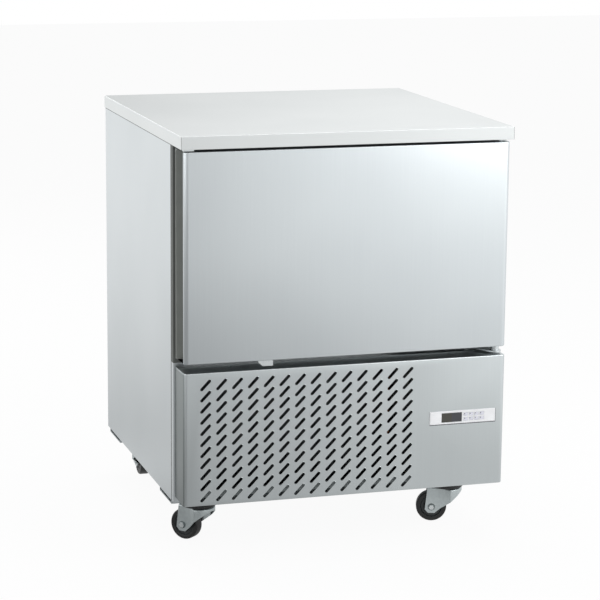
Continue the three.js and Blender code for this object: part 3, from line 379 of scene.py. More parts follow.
across_grain = (330, 330, 3.5)  # per metre: lines stand upright
worktop_grain = (3.5, 330, 330)  # lines run from side to side
worktop_steel = brushed_steel("brushed stainless steel, worktop", "#d6dada", "#e2e5e5",
                              worktop_grain)
sheet, overhang = 1.5 * mm, 87.5 * mm
wall = Vector((sheet, sheet, sheet))
worktop_low, worktop_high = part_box("worktop")
tray_low, tray_high = worktop_low + wall, worktop_high - wall
worktop = shape_of("worktop_folded", worktop_steel, (slab, worktop_low, worktop_high))
over_cabinet = shape_of("over_cabinet", worktop_steel, (
    slab, (tray_low.x, worktop_low.y + overhang, worktop_low.z - sheet), tray_high))
over_door = shape_of("over_door", worktop_steel, (
    slab, tray_low, (tray_high.x, tray_low.y + overhang, tray_high.z)))
carve(worktop, over_cabinet, over_door)
round_edges(worktop, 0.7 * mm)
set_on(worktop, "cabinet", "brushed_stainless", "worktop")

# ------------------------------------------------------------------ cabinet panels
# Brushed stainless sides, screwed to a back and a base of galvanised sheet. The front frame between
# them comes with the door, whose gasket closes on it.
panel_steel = brushed_steel("brushed stainless steel, panels", "#cdd3d5", "#dbe0e2", across_grain)
for node in ("side_panel_left", "side_panel_right"):
    broken_edges(node, panel_steel, "brushed_stainless", 0.5 * mm)


def galvanised(name, dark, light):
    """Hot-dip galvanised sheet: dull grey zinc with a spangle of crystals about 12 mm across."""
    material, tree, shader, place = begun(name)
    spangle = add(tree, "ShaderNodeTexVoronoi", {"Vector": place, "Scale": 1 / (12 * mm)})
    crystal = add(tree, "ShaderNodeSeparateColor", {"Color": spangle.outputs["Color"]}).outputs
    colour = add(tree, "ShaderNodeMix", {"Factor": crystal[0], dark_side: tint(dark),
                                         light_side: tint(light)}, data_type="RGBA")
    rough = add(tree, "ShaderNodeMapRange", {"Value": crystal[1], "To Min": 0.38, "To Max": 0.55})
    feed(tree, shader, {"Metallic": 0.9, "Base Color": colour, "Roughness": rough})
    return material


zinc_sheet = galvanised("galvanised steel sheet", "#a3a9ab", "#b6bcbe")
for node in ("back_panel", "base_frame"):
    broken_edges(node, zinc_sheet, "galvanised_steel", 0.3 * mm)

# ------------------------------------------------------------------ insulated cell
# A thin satin stainless liner holds the cold air. Rigid polyurethane foam fills the space between
# it and the outer panels.
cell_steel = brushed_steel("satin stainless steel, cell", "#b4babc", "#c3c9ca", across_grain, 0.3)
broken_edges("cavity_liner", cell_steel, "cell_stainless", 0.3 * mm)


def rigid_foam(name):
    """Rigid polyurethane foam: matt, straw-coloured, with closed cells drawn 2 mm across."""
    material, tree, shader, place = begun(name)
    cells = add(tree, "ShaderNodeTexVoronoi", {"Vector": place, "Scale": 1 / (2 * mm)})
    colour = add(tree, "ShaderNodeValToRGB", {"Fac": cells},
                 [(0, tint("#d9cd9c")), (1, tint("#ece2bd"))])
    relief = add(tree, "ShaderNodeBump", {"Height": cells, "Strength": 0.4, "Distance": 0.3 * mm})
    feed(tree, shader, {"Base Color": colour, "Roughness": 0.9, "Normal": relief})
    return material


foam = rigid_foam("rigid polyurethane foam")
broken_edges("body_insulation", foam, "foam", 0)

# ------------------------------------------------------------------ tray racks
# A satin stainless rack on each side: two posts that carry five folded angle runners for the trays.
# Four pegs hold each rack off the wall.
for side in ("left", "right"):
    broken_edges(f"tray_rack_{side}", cell_steel, "cell_stainless", 0.3 * mm)

# ------------------------------------------------------------------ evaporator
# Aluminium fins pressed on copper tubes that turn back at both ends, over a stainless drip tray.
# Real fins are 2 mm apart; these are 5 mm apart, so that they can be told from each other.


def plain_metal(name, colour, roughness, grit, metallic=1.0, mottled=0.11):
    """Bare metal as it comes from the mill or press, with a faint mottle of the grit's size."""
    material, tree, shader, place = begun(name)
    mottle = add(tree, "ShaderNodeTexNoise", {"Vector": place, "Scale": 1 / grit, "Detail": 3.0})
    value = add(tree, "ShaderNodeMapRange", {"Value": mottle, "From Min": 0.3, "From Max": 0.7,
                                             "To Min": 1 - mottled, "To Max": 1 + mottled})
    tone = add(tree, "ShaderNodeHueSaturation", {"Color": tint(colour), "Value": value})
    rough = add(tree, "ShaderNodeMapRange", {"Value": mottle,
                                             "To Min": roughness - 0.7 * mottled,
                                             "To Max": roughness + 0.7 * mottled})
    relief = add(tree, "ShaderNodeBump", {"Height": mottle, "Strength": 0.15,
                                          "Distance": 0.2 * mm})
    feed(tree, shader, {"Metallic": metallic, "Base Color": tone, "Roughness": rough,
                        "Normal": relief})
    return material


def rows_of(name, shape, counts, steps, start, material, turn=(0, 0, 0)):
    """Geometry Nodes: one shape repeated along up to two directions, made real as one mesh."""
    tree = bpy.data.node_groups.new(f"{name}_rows", "GeometryNodeTree")
    sizes = {"Columns": ("Int", counts[0]), "Rows": ("Int", counts[1]),
             "Column step": ("Vector", steps[0]), "Row step": ("Vector", steps[1]),
             "Start": ("Vector", start), "Turn": ("Rotation", turn)}
    sockets = {label: tree.interface.new_socket(label, in_out="INPUT",
                                                socket_type=f"NodeSocket{kind}")
               for label, (kind, _) in sizes.items()}
    tree.interface.new_socket("Geometry", in_out="OUTPUT", socket_type="NodeSocketGeometry")
    given = add(tree, "NodeGroupInput").outputs
    column = add(tree, "GeometryNodeMeshLine", {"Count": given["Columns"],
                                                "Offset": given["Column step"],
                                                "Start Location": given["Start"]})
    row = add(tree, "GeometryNodeMeshLine", {"Count": given["Rows"], "Offset": given["Row step"]})
    field = add(tree, "GeometryNodeInstanceOnPoints", {"Points": column, "Instance": row})
    points = add(tree, "GeometryNodeRealizeInstances", {"Geometry": field})
    source = add(tree, "GeometryNodeObjectInfo", {"Object": shape}).outputs["Geometry"]
    copies = add(tree, "GeometryNodeInstanceOnPoints", {"Points": points, "Instance": source,
                                                        "Rotation": given["Turn"]})
    real = add(tree, "GeometryNodeRealizeInstances", {"Geometry": copies})
    dressed = add(tree, "GeometryNodeSetMaterial", {"Geometry": real, "Material": material})
    add(tree, "NodeGroupOutput", {"Geometry": dressed})
    piece = link(name, bpy.data.meshes.new(name), material)
    repeat = piece.modifiers.new("rows", "NODES")
    repeat.node_group = tree
    for label, (_, value) in sizes.items():
        repeat[sockets[label].identifier] = value
    baked(piece)
    bpy.data.objects.remove(shape)
    return piece


def joined(pieces, name):
    """Several meshes as one piece."""
    whole = pieces[0]
    with bpy.context.temp_override(active_object=whole, selected_editable_objects=pieces):
        bpy.ops.object.join()
    whole.name = name
    return whole


def circle(count, radius=1.0):
    """Points evenly round a circle, anticlockwise from the first axis."""
    return [(radius * math.cos(2 * math.pi * k / count), radius * math.sin(2 * math.pi * k / count))
            for k in range(count)]


def half_torus(bm, centre, radius, wire, side):
    """A return bend that joins two tubes one above the other at a coil's end."""
    steps, sides = 8, 8
    rings = []
    for i in range(steps + 1):
        turn = math.pi * i / steps
        out = Vector((side * math.sin(turn), 0, math.cos(turn)))
        rings.append([Vector(centre) + out * (radius + u) + Vector((0, v, 0))
                      for u, v in circle(sides, wire)])
    loft(bm, rings)


mill_aluminium = plain_metal("mill-finish aluminium fin", "#b4babb", 0.38, 9 * mm)
copper = plain_metal("drawn copper tube", "#b87350", 0.3, 14 * mm)


def finned_block(node, fin_pitch, tube_rows):
    """A coil that fills its CAD solid: fins, end plates and copper return bends."""
    (x0, y0, z0), (x1, y1, z1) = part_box(node)
    bend, fin, plate, margin = 18 * mm, 0.4 * mm, 1.5 * mm, 4 * mm
    single = shape_of("fin", mill_aluminium, (slab, (-fin / 2, y0 + margin, z0 + margin / 2),
                                              (fin / 2, y1 - margin, z1 - margin / 2)))
    count = int((x1 - x0 - 2 * bend - 2 * margin) / fin_pitch) + 1
    fins = rows_of("fins", single, (count, 1), ((fin_pitch, 0, 0), (0, 0, 0)),
                   (x0 + bend + margin, 0, 0), mill_aluminium)
    ends = shape_of("ends", mill_aluminium,
                    *[(slab, (side, y0, z0), (side + plate, y1, z1))
                      for side in (x0 + bend, x1 - bend - plate)],
                    *[(slab, (x0 + bend, y0, z), (x1 - bend, y1, z + plate))
                      for z in (z0, z1 - plate)])
    set_on(joined([fins, ends], f"{node}_fins"), "cabinet", "fin_aluminium", node)
    pitch = (z1 - z0) / (2 * tube_rows)
    bends = shape_of(f"{node}_return_bends", copper, *[
        (half_torus, (x, y, z0 + (2 * row + 1) * pitch), pitch / 2, 4 * mm, side)
        for row in range(tube_rows) for y in (y0 + 0.3 * (y1 - y0), y0 + 0.7 * (y1 - y0))
        for x, side in ((x0 + bend, -1), (x1 - bend, 1))])
    set_on(bends, "cabinet", "copper_pipe")


finned_block("evaporator_coil", 5 * mm, 8)
broken_edges("drip_tray", cell_steel, "cell_stainless", 0.3 * mm)

# ------------------------------------------------------------------ cell fan
# A stainless cover with air slots stands in front of the coil. The fan turns in its round opening
# behind a welded wire guard, on a motor that hangs from four arms. A nylon gland lets the core
# probe's lead into the cell.


def round_bar(bm, low, high, radius, sides, axis=1, tip=None):
    """A bar between two points along one axis, with its ends a little rounded."""
    first, second = Vector(low), Vector(high)
    a, b = [Vector([float(k == (axis + s) % 3) for k in range(3)]) for s in (1, 2)]
    along = (second - first).normalized()
    soft = radius * 0.12 if tip is None else tip
    rings = [(first, radius - soft), (first + along * soft, radius),
             (second - along * soft, radius), (second, radius - soft)]
    loft(bm, [[centre + u * a + v * b for u, v in circle(sides, r)] for centre, r in rings])


def wire_ring(bm, centre, radius, wire, steps=64, sides=8):
    """A closed ring of round wire that stands square to the Y axis."""
    rings = [[bm.verts.new(Vector(centre) + Vector((c * (radius + u), v, s * (radius + u))))
              for u, v in circle(sides, wire)] for c, s in circle(steps)]
    for i, ring in enumerate(rings):
        quads(bm, ring, rings[(i + 1) % steps])


cover_low, cover_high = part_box("evaporator_fan_cover")
cover_face, cover_return = 135 * mm, 14 * mm
fan_axis = (cover_low.z + cover_high.z) / 2
past = 20 * mm  # how far a cutter reaches past the sheet it cuts
cover = shape_of("evaporator_fan_cover_sheet", cell_steel, (
    slab, (cover_low.x, cover_face, cover_low.z),
    (cover_high.x, cover_face + cover_return, cover_high.z)))
behind = shape_of("behind", cell_steel, (
    slab, (cover_low.x + sheet, cover_face + sheet, cover_low.z - sheet),
    (cover_high.x - sheet, cover_face + 1, cover_high.z + sheet)))
eye = shape_of("eye", cell_steel, (round_bar, (0, cover_face - past, fan_axis),
                                   (0, cover_face + 5 * past, fan_axis), 155 * mm, 72))


def arc(cx, cy, radius, start, end, steps):
    return [(cx + radius * math.cos(start + (end - start) * i / steps),
             cy + radius * math.sin(start + (end - start) * i / steps)) for i in range(steps + 1)]


def slot_plan(length, width, steps):
    """A lying slot with round ends about the origin, anticlockwise."""
    half = (length - width) / 2
    return [*arc(half, 0, width / 2, -quarter, quarter, steps),
            *arc(-half, 0, width / 2, quarter, 3 * quarter, steps)]


air_slot = shape_of("air_slot", cell_steel, (
    loft, [[(u, y, w) for u, w in slot_plan(70 * mm, 10 * mm, 6)]
           for y in (cover_face - past, cover_face + 2.5 * past)]))
air_slot_across, air_slot_pitch = 510 * mm, 40 * mm
air_slots = rows_of("air_slots", air_slot, (2, 9), ((air_slot_across, 0, 0), (0, 0, air_slot_pitch)),
                    (-air_slot_across / 2, 0, fan_axis - 4 * air_slot_pitch), cell_steel)
carve(cover, behind, eye, air_slots)
set_on(cover, "cabinet", "cell_stainless", "evaporator_fan_cover")

guard_wire, guard_y, guard_reach = 2 * mm, 101.2 * mm, 160.2 * mm
bright_wire = plain_metal("electropolished wire", "#cfd4d5", 0.16, 6 * mm)
guard_middle = Matrix.Translation((0, guard_y + 1.2 * guard_wire, fan_axis))
guard = shape_of("evaporator_fan_guard", bright_wire, *[
    (wire_ring, (0, guard_y, fan_axis), ring * guard_reach / 6, guard_wire)
    for ring in range(1, 7)
], *[
    (placed, guard_middle @ Matrix.Rotation(turn * quarter / 2, 4, "Y"), round_bar,
     (-160 * mm, 0, 0), (160 * mm, 0, 0), guard_wire, 8, 0)
    for turn in range(4)
], *[
    (round_bar, (x, guard_y, fan_axis + z), (x, cover_face + sheet / 2, fan_axis + z),
     guard_wire * 1.2, 10)
    for x, z in circle(4, guard_reach)
])
set_on(guard, "cabinet", "cell_stainless")


def moulded(name, colour, roughness, grit, relief=0.25):
    """Moulded plastic or rubber, foam or stoved paint: an even colour under a fine grain of the
    grit's size, which softens the gloss."""
    material, tree, shader, place = begun(name)
    grain = add(tree, "ShaderNodeTexNoise", {"Vector": place, "Scale": 1 / grit, "Detail": 2.0})
    cast = add(tree, "ShaderNodeTexNoise", {"Vector": place, "Scale": 18.0})
    value = add(tree, "ShaderNodeMapRange", {"Value": cast, "From Min": 0.3, "From Max": 0.7,
                                             "To Min": 0.94, "To Max": 1.05})
    tone = add(tree, "ShaderNodeHueSaturation", {"Color": tint(colour), "Value": value})
    rough = add(tree, "ShaderNodeMapRange", {"Value": grain, "To Min": roughness - 0.06,
                                             "To Max": roughness + 0.06})
    bump = add(tree, "ShaderNodeBump", {"Height": grain, "Strength": relief,
                                        "Distance": 0.1 * mm})
    feed(tree, shader, {"IOR": 1.5, "Base Color": tone, "Roughness": rough, "Normal": bump})
    return material


grey_nylon = moulded("glass-filled grey nylon", "#7b8184", 0.5, 1.2 * mm)
black_enamel = moulded("black stoving enamel", "#202224", 0.35, 2.5 * mm)


def fan_blade(bm, centre, turn_on, hub, radius, depth):
    """One swept, twisted blade 2 mm thick that tapers into the hub, from a grid on each side."""
    stations, chord, half_thick = 8, 8, 1 * mm
    faces = []
    for side in (-1, 1):
        grid = []
        for i in range(stations + 1):
            share = i / stations
            r = hub * 0.92 + share * (radius - hub * 0.92)
            pitch = math.radians(52 - 26 * share)
            width = hub * (1.05 + 1.1 * share)
            sweep = 0.28 * share
            line = []
            for k in range(chord + 1):
                along = (k / chord - 0.5) * width
                camber = 0.06 * width * (1 - (2 * k / chord - 1) ** 2)
                y = max(-0.47 * depth, min(0.47 * depth, along * math.sin(pitch) * 0.8 + camber))
                turn = turn_on + sweep + along * math.cos(pitch) / r
                line.append(bm.verts.new((centre.x + r * math.cos(turn),
                                          centre.y + y + side * half_thick,
                                          centre.z + r * math.sin(turn))))
            grid.append(line)
        faces.append(grid)
    front, back = faces
    for grid in faces:
        for i in range(stations):
            for k in range(chord):
                bm.faces.new((grid[i][k], grid[i + 1][k], grid[i + 1][k + 1], grid[i][k + 1]))
    rim = [(i, 0) for i in range(stations)] + [(stations, k) for k in range(chord)] \
        + [(i, chord) for i in range(stations, 0, -1)] + [(0, k) for k in range(chord, 0, -1)]
    quads(bm, [front[i][k] for i, k in rim], [back[i][k] for i, k in rim])


def fan_rotor(node, hub, blades):
    """Moulded axial rotor: a domed hub with its blades."""
    low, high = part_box(node)
    centre, depth = (low + high) / 2, high.y - low.y
    radius = min(high.x - low.x, high.z - low.z) / 2 * 0.995
    dome = 0.3 * depth
    profile = [(-0.5 * depth, 0.55 * hub), (-0.5 * depth + 0.3 * dome, 0.85 * hub),
               (-0.5 * depth + dome, hub), (0.5 * depth, hub)]
    rings = [[(centre.x + u, centre.y + y, centre.z + v) for u, v in circle(48, r)]
             for y, r in profile]
    rotor = shape_of(f"{node}_moulding", grey_nylon, (loft, rings), *[
        (fan_blade, centre, 2 * math.pi * blade / blades, hub, radius, depth)
        for blade in range(blades)], angle=50)
    set_on(rotor, node, "grey_plastic", node)


fan_rotor("evaporator_fan", 38 * mm, 5)
broken_edges("evaporator_fan_motor", black_enamel, "black_paint", 0.5 * mm)
broken_edges("probe_gland", grey_nylon, "grey_plastic", 0.3 * mm)

# ------------------------------------------------------------------ door
# A folded stainless skin round a foam core, with an inner panel and a magnetic gasket. The free
# side is bent in over the full height as a grip for the fingers. The front corners are rolled.
door_steel = brushed_steel("brushed stainless steel, door", "#ccd2d5", "#dae0e2", across_grain)


def moved_in(outline, distance):
    """A closed anticlockwise outline moved inwards by one distance."""
    moved = []
    for i, point in enumerate(outline):
        here, before, after = (Vector(outline[k % len(outline)]) for k in (i, i - 1, i + 1))
        into, out = (here - before).normalized(), (after - here).normalized()
        reach = distance / max(0.2, 1 + into.dot(out))
        moved.append((here.x - (into.y + out.y) * reach, here.y + (into.x + out.x) * reach))
    return moved


def prism(bm, outline, low, high):
    loft(bm, [[(x, y, z) for x, y in outline] for z in (low, high)])


def rounded_prism(bm, outline, low, high, fold, steps=4):
    """An outline raised from low to high, with its end edges folded over a small radius."""
    rings = []
    for i in range(steps + 1):
        turn = quarter * i / steps
        rings.append((low + fold * (1 - math.sin(turn)), fold * (1 - math.cos(turn))))
    rings = sorted(rings) + [(low + high - z, inset) for z, inset in sorted(rings, reverse=True)]
    loft(bm, [[(x, y, z) for x, y in moved_in(outline, inset)] for z, inset in rings])


skin_low, skin_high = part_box("door_skin")
door_corner, grip_depth, grip_lip, grip_heel, grip_slope = [v * mm for v in (12, 20, 9, 8, 6)]
lip_y, heel_y = skin_low.y + grip_lip, skin_high.y - grip_heel
bend = 2.5 * mm
grip_x = skin_low.x + grip_depth
door_plan = [
    *arc(skin_high.x - door_corner, skin_low.y + door_corner, door_corner, -quarter, 0, 10),
    (skin_high.x, skin_high.y),
    (skin_low.x, skin_high.y),
    (skin_low.x, heel_y + 0.4 * bend),
    (skin_low.x + 0.4 * bend, heel_y),
    (grip_x - bend, heel_y - grip_slope + 0.3 * bend),
    (grip_x, heel_y - grip_slope - bend),
    (grip_x, lip_y + grip_slope + bend),
    (grip_x - bend, lip_y + grip_slope - 0.3 * bend),
    (skin_low.x + grip_slope, lip_y + 1 * mm),
    *arc(skin_low.x + door_corner, skin_low.y + door_corner, door_corner, math.pi + 0.35,
         3 * quarter, 8),
]
grip_points = slice(12, 20)  # the points of the plan that go round the grip
sheet_fold = 2.2 * mm
skin = shape_of("door_skin_folded", door_steel,
                (rounded_prism, door_plan, skin_low.z, skin_high.z, sheet_fold), angle=35)
open_back = [(x, skin_high.y + 5 * mm if y > skin_high.y - 2 * sheet else y)
             for x, y in moved_in(door_plan, sheet)]
folded_space = shape_of("folded_space", door_steel, (
    prism, open_back, skin_low.z + sheet, skin_high.z - sheet))
hinge_pivot = (skin_high.x - 18 * mm, skin_low.y + 25 * mm)
pin_holes = shape_of("pin_holes", door_steel, (
    round_bar, (*hinge_pivot, skin_low.z - past), (*hinge_pivot, skin_high.z + past), 6.8 * mm, 32,
    2))
carve(skin, folded_space)
carve(skin, pin_holes)
set_on(skin, "door", "brushed_stainless", "door_skin")
broken_edges("door_insulation", foam, "foam", 0, body="door")
broken_edges("door_inner_panel", cell_steel, "cell_stainless", 0.6 * mm, body="door")

# The gasket is extruded PVC: a hollow bellows with a magnet strip in its nose.
grey_pvc = moulded("grey plasticised PVC", "#6a6d6b", 0.6, 3 * mm, 0.15)
gasket_low, gasket_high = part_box("door_gasket")
gasket_depth, gasket_width = gasket_high.y - gasket_low.y, 18 * mm
gasket_section = [(0.0, 0.0), (1.0, 0.0), (1.0, 0.28), (0.86, 0.36), (0.86, 0.48), (1.0, 0.58),
                  (1.0, 0.92), (0.92, 1.0), (0.08, 1.0), (0.0, 0.92), (0.0, 0.58), (0.14, 0.48),
                  (0.14, 0.36), (0.0, 0.28)]


def mitred_frame(bm, corners):
    """A section carried round four mitred corners, as outlines of points."""
    rings = [[bm.verts.new(point) for point in corner] for corner in corners]
    for first, second in zip(rings, rings[1:] + rings[:1]):
        quads(bm, first, second)


gasket = shape_of("door_gasket_bellows", grey_pvc, (mitred_frame, [
    [(x_edge + x_in * across * gasket_width, gasket_low.y + out * gasket_depth,
      z_edge + z_in * across * gasket_width) for across, out in gasket_section]
    for x_edge, x_in, z_edge, z_in in (
        (gasket_low.x, 1, gasket_low.z, 1), (gasket_high.x, -1, gasket_low.z, 1),
        (gasket_high.x, -1, gasket_high.z, -1), (gasket_low.x, 1, gasket_high.z, -1))]), angle=30)
set_on(gasket, "door", "gasket_rubber", "door_gasket")

# A profile of dark grey PVC lines the grip over the door's full height. It is painted shade: it stands
# in for the shade and dark reflection in the grip's stainless recess.
grip_shade_pvc = moulded("dark grey PVC, painted grip shade", "#747773", 0.5, 3 * mm, 0.1)
shade_lining_out, shade_lining_in = (
    [(x, min(y, skin_high.y)) for x, y in moved_in(door_plan, -gap)[grip_points]]
    for gap in (1.0 * mm, 0.05 * mm))
shade_lining = shape_of("door_grip_lining", grip_shade_pvc, (
    prism, shade_lining_in + shade_lining_out[::-1], skin_low.z + 1.2 * mm, skin_high.z - 1.2 * mm))
set_on(shade_lining, "door", "grey_plastic")

# The front frame is stainless steel beside the machine compartment. Round the door's opening it is a
# charcoal PVC thermal break, coloured darker than the grip's profile as painted shade. Black strips paint
# the shade of the joint between the frame and each side panel and of the step under the worktop's sides,
# and a dark seam down the worktop's front corners paints the shade in the open seam where two folds meet.
frame_low, frame_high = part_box("front_frame")
shade_level, beyond = 462 * mm, 5 * mm
frame_steel = finished_copy("front_frame", panel_steel, 0.5 * mm)
# Painted shade: coloured darker than the grip's profile, so that the lit frame looks as shaded as the
# grip.
frame_shade_pvc = moulded("charcoal PVC, painted frame shade", "#5b5e5b", 0.5, 3 * mm, 0.1)
frame_shaded_break = link("front_frame_thermal_break", frame_steel.data.copy(), frame_shade_pvc)
for part, z0, z1 in ((frame_steel, shade_level, frame_high.z + beyond),
                     (frame_shaded_break, frame_low.z - beyond, shade_level)):
    carve(part, shape_of("other_part", panel_steel, (
        slab, (frame_low.x - beyond, frame_low.y - beyond, z0),
        (frame_high.x + beyond, frame_high.y + beyond, z1))))
set_on(frame_steel, "cabinet", "brushed_stainless", "front_frame")
set_on(frame_shaded_break, "cabinet", "grey_plastic")
shade_line_black = moulded("black, painted shade lines", "#2c2e2f", 0.55, 2 * mm, 0.1)
panel_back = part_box("side_panel_right")[1]
shade_line_spans = ((panel_back.x - 1 * mm, panel_back.x + 0.2 * mm),
               (worktop_high.x - 1.1 * mm, worktop_high.x - 0.02 * mm))
shade_lines = []
for (shade_x0, shade_x1), (seam_x0, seam_x1) in (
        shade_line_spans, [(-outside, -inside) for inside, outside in shade_line_spans]):
    shade_lines += [
        # painted shade: a dark strip down the joint beside the frame
        (slab, (shade_x0, frame_high.y - 1.5 * mm, frame_low.z + 0.5 * mm),
         (shade_x1, frame_high.y + 1.5 * mm, worktop_low.z - 1 * mm)),
        # painted shade: a dark strip under the worktop's side edge
        (slab, (shade_x0, frame_high.y + 2 * mm, worktop_low.z - 2 * mm),
         (shade_x1, panel_back.y - 1 * mm, worktop_low.z - 0.2 * mm)),
        # painted shade: a dark seam down the worktop's front corner
        (slab, (seam_x0, worktop_low.y + 0.02 * mm, worktop_low.z + 0.8 * mm),
         (seam_x1, worktop_low.y + 1.1 * mm, worktop_high.z - 1.2 * mm)),
    ]
set_on(shape_of("cabinet_joints", shade_line_black, *shade_lines), "cabinet", "black_rubber")

# The switch tab is a bright zinc-plated pressing under the door.


def zinc_plated(name, colour, roughness):
    """Bright blue-passivated zinc on pressed steel: light grey, with a soft uneven bloom of 8 mm."""
    return plain_metal(name, colour, roughness, 8 * mm, 0.92, 0.04)


bright_zinc = zinc_plated("bright zinc plate, small pressings", "#d5dadb", 0.28)
broken_edges("door_switch_tab", bright_zinc, "zinc_plate", 0.3 * mm, body="door")

# ------------------------------------------------------------------ hinges and screws
# Three-cornered stainless plates carry the door on steel pins. Zinc-plated pan-head screws hold the
# lower one to the cabinet, and a zinc-plated clip shows under the worktop's left front corner.
for node in ("door_hinge_lower", "door_hinge_upper"):
    broken_edges(node, panel_steel, "brushed_stainless", 0.5 * mm)


def screw_head(radius, height, sides=28):
    """A pan head that stands on the XY plane, with a cross recess pressed into it."""
    profile = [(0, 0.96), (0.25, 1.0), (0.55, 0.93), (0.82, 0.72), (1.0, 0.38)]
    head = shape_of("screw_head", bright_zinc, (
        loft, [[(u, v, height * z) for u, v in circle(sides, radius * r)] for z, r in profile]))
    arm, half = 0.55 * radius, 0.11 * radius
    return carve(head, *[
        shape_of("cross", bright_zinc, (slab, (-x, -y, 0.45 * height), (x, y, 2 * height)))
        for x, y in ((arm, half), (half, arm))])


def screws(name, radius, height, counts, steps, start, turn):
    piece = rows_of(name, screw_head(radius, height), counts, steps, start, bright_zinc, turn)
    set_on(piece, "cabinet", "zinc_plate")


facing_front, facing_back, facing_up = (quarter, 0, 0), (-quarter, 0, 0), (0, 0, 0)
clip = shape_of("worktop_clip", bright_zinc, (
    slab, (worktop_low.x + 6 * mm, worktop_low.y + 5.5 * mm, worktop_low.z - 3.6 * mm),
    (worktop_low.x + 31 * mm, worktop_low.y + 15.5 * mm, worktop_low.z - 0.2 * mm)))
set_on(clip, "cabinet", "zinc_plate")
screws("lower_hinge_screws", 3.4 * mm, 1.6 * mm, (2, 1), ((44 * mm, 0, 0), (0, 0, 0)),
       (332 * mm, frame_low.y - 4.25 * mm, 446 * mm), facing_front)

# ------------------------------------------------------------------ front cover
# A folded stainless cover closes the machine compartment. Fourteen columns of eleven slanted slots
# are punched through it for the condenser's air. Two screws hold its top flange.
# The cover's left return is painted darker, as shade.
cover_steel = brushed_steel("brushed stainless steel, front cover", "#bfc5c7", "#cdd3d4",
                            across_grain, dull="#8a9191", shade_beyond=391 * mm)
fascia_low, fascia_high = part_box("fascia")
fascia_corner = 9 * mm
corner_y = fascia_low.y + fascia_corner
fascia_plan = [
    *arc(fascia_high.x - fascia_corner, corner_y, fascia_corner, -quarter, 0, 10),
    (fascia_high.x, fascia_high.y),
    (fascia_low.x, fascia_high.y),
    *arc(fascia_low.x + fascia_corner, corner_y, fascia_corner, math.pi, 3 * quarter, 10),
]
front_cover = shape_of("front_cover", cover_steel, (
    rounded_prism, fascia_plan, fascia_low.z, fascia_high.z, sheet_fold))
inside_low, inside_high = fascia_low + wall, fascia_high - wall
hollow = shape_of("hollow", cover_steel, (
    prism, moved_in(fascia_plan, sheet), inside_low.z, inside_high.z))
mouth = shape_of("mouth", cover_steel, (
    slab, (inside_low.x, fascia_high.y - 5 * mm, inside_low.z),
    (inside_high.x, fascia_high.y + 5 * mm, inside_high.z)))
top_flange, bottom_flange = 62 * mm, 60 * mm
flanges = shape_of("flanges", cover_steel, *[
    (slab, (inside_low.x, fascia_low.y + depth, z0), (inside_high.x, fascia_high.y + 6 * mm, z1))
    for depth, z0, z1 in ((top_flange, inside_high.z - sheet, fascia_high.z + sheet),
                          (bottom_flange, fascia_low.z - sheet, inside_low.z + sheet))])
housing_low, housing_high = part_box("controller_housing")
panel_hole_x, panel_hole_z = 75.5 * mm, 13 * mm
bezel_x, bezel_z = (housing_low.x + housing_high.x) / 2, (housing_low.z + housing_high.z) / 2
panel_hole = shape_of("panel_hole", cover_steel, (
    slab, (bezel_x - panel_hole_x, fascia_low.y - sheet, bezel_z - panel_hole_z),
    (bezel_x + panel_hole_x, fascia_low.y + 2 * sheet, bezel_z + panel_hole_z)))

slot_columns, slot_rows = 14, 11
slot_pitch_x, slot_pitch_z = 37.8 * mm, 26.5 * mm
slot_length, slot_width, slot_tilt = 34 * mm, 7.5 * mm, math.radians(46)
slot_steps = ((slot_pitch_x, 0, 0), (0, 0, slot_pitch_z))
slot_start = (fascia_low.x + 52 * mm, fascia_low.y, fascia_low.z + 22.5 * mm)


def slot_outline(grow):
    """A slanted slot of the front cover, in X and Z."""
    c, s = math.cos(slot_tilt), math.sin(slot_tilt)
    return [(u * c - v * s, u * s + v * c)
            for u, v in slot_plan(slot_length + 2 * grow, slot_width + 2 * grow, 8)]


slot_shape = shape_of("slot", cover_steel, (
    loft, [[(x, y, z) for x, z in slot_outline(0)] for y in (-2 * sheet, 2 * sheet)]))
slots = rows_of("slots", slot_shape, (slot_columns, slot_rows), slot_steps, slot_start, cover_steel)
carve(front_cover, hollow)
carve(front_cover, mouth)
carve(front_cover, flanges, panel_hole, slots)
set_on(front_cover, "cabinet", "brushed_stainless", "fascia")

# A strip of grey foam tape on the frame's sill keeps the cover from rattling.
sill_foam = moulded("grey foam tape", "#747a7b", 0.8, 2 * mm, 0.2)
tape_inset, tape_foot, tape_top = 26 * mm, 2 * mm, 25.6 * mm
tape = shape_of("sill_tape", sill_foam, (
    slab, (frame_low.x + tape_inset, frame_low.y - 1.2 * mm, frame_low.z + tape_foot),
    (frame_high.x - tape_inset, frame_low.y - 0.05 * mm, frame_low.z + tape_top)))
set_on(tape, "cabinet", "black_rubber")

# The punch leaves a fine raised edge round each slot, which catches the light.
edge_width, edge_height = 0.7 * mm, 0.25 * mm
edge_shape = shape_of("slot_edge", cover_steel, (mitred_frame, [
    [(x, y, z) for x, z in slot_outline(grow)]
    for grow, y in ((0, 0.6 * sheet), (0.02 * mm, -edge_height), (0.3 * edge_width, -edge_height),
                    (edge_width, 0.1 * mm))]), angle=60)
slot_edges = rows_of("front_cover_slot_edges", edge_shape, (slot_columns, slot_rows), slot_steps,
                     slot_start, cover_steel)
set_on(slot_edges, "cabinet", "brushed_stainless")
screws("front_cover_screws", 4.5 * mm, 1.8 * mm, (2, 1), ((544 * mm, 0, 0), (0, 0, 0)),
       (-272 * mm, -353 * mm, fascia_high.z - 0.1 * mm), facing_up)

# ------------------------------------------------------------------ controller
# One white ABS moulding: a bevelled bezel on the cover and a housing that snaps through it. It holds
# a smoked acrylic window and eight keys. Nothing is printed on it but a dot on each key.
white_abs = moulded("moulded white ABS", "#f1f1f3", 0.38, 1.5 * mm, 0.1)
broken_edges("controller_housing", white_abs, "white_plastic", 0.4 * mm)
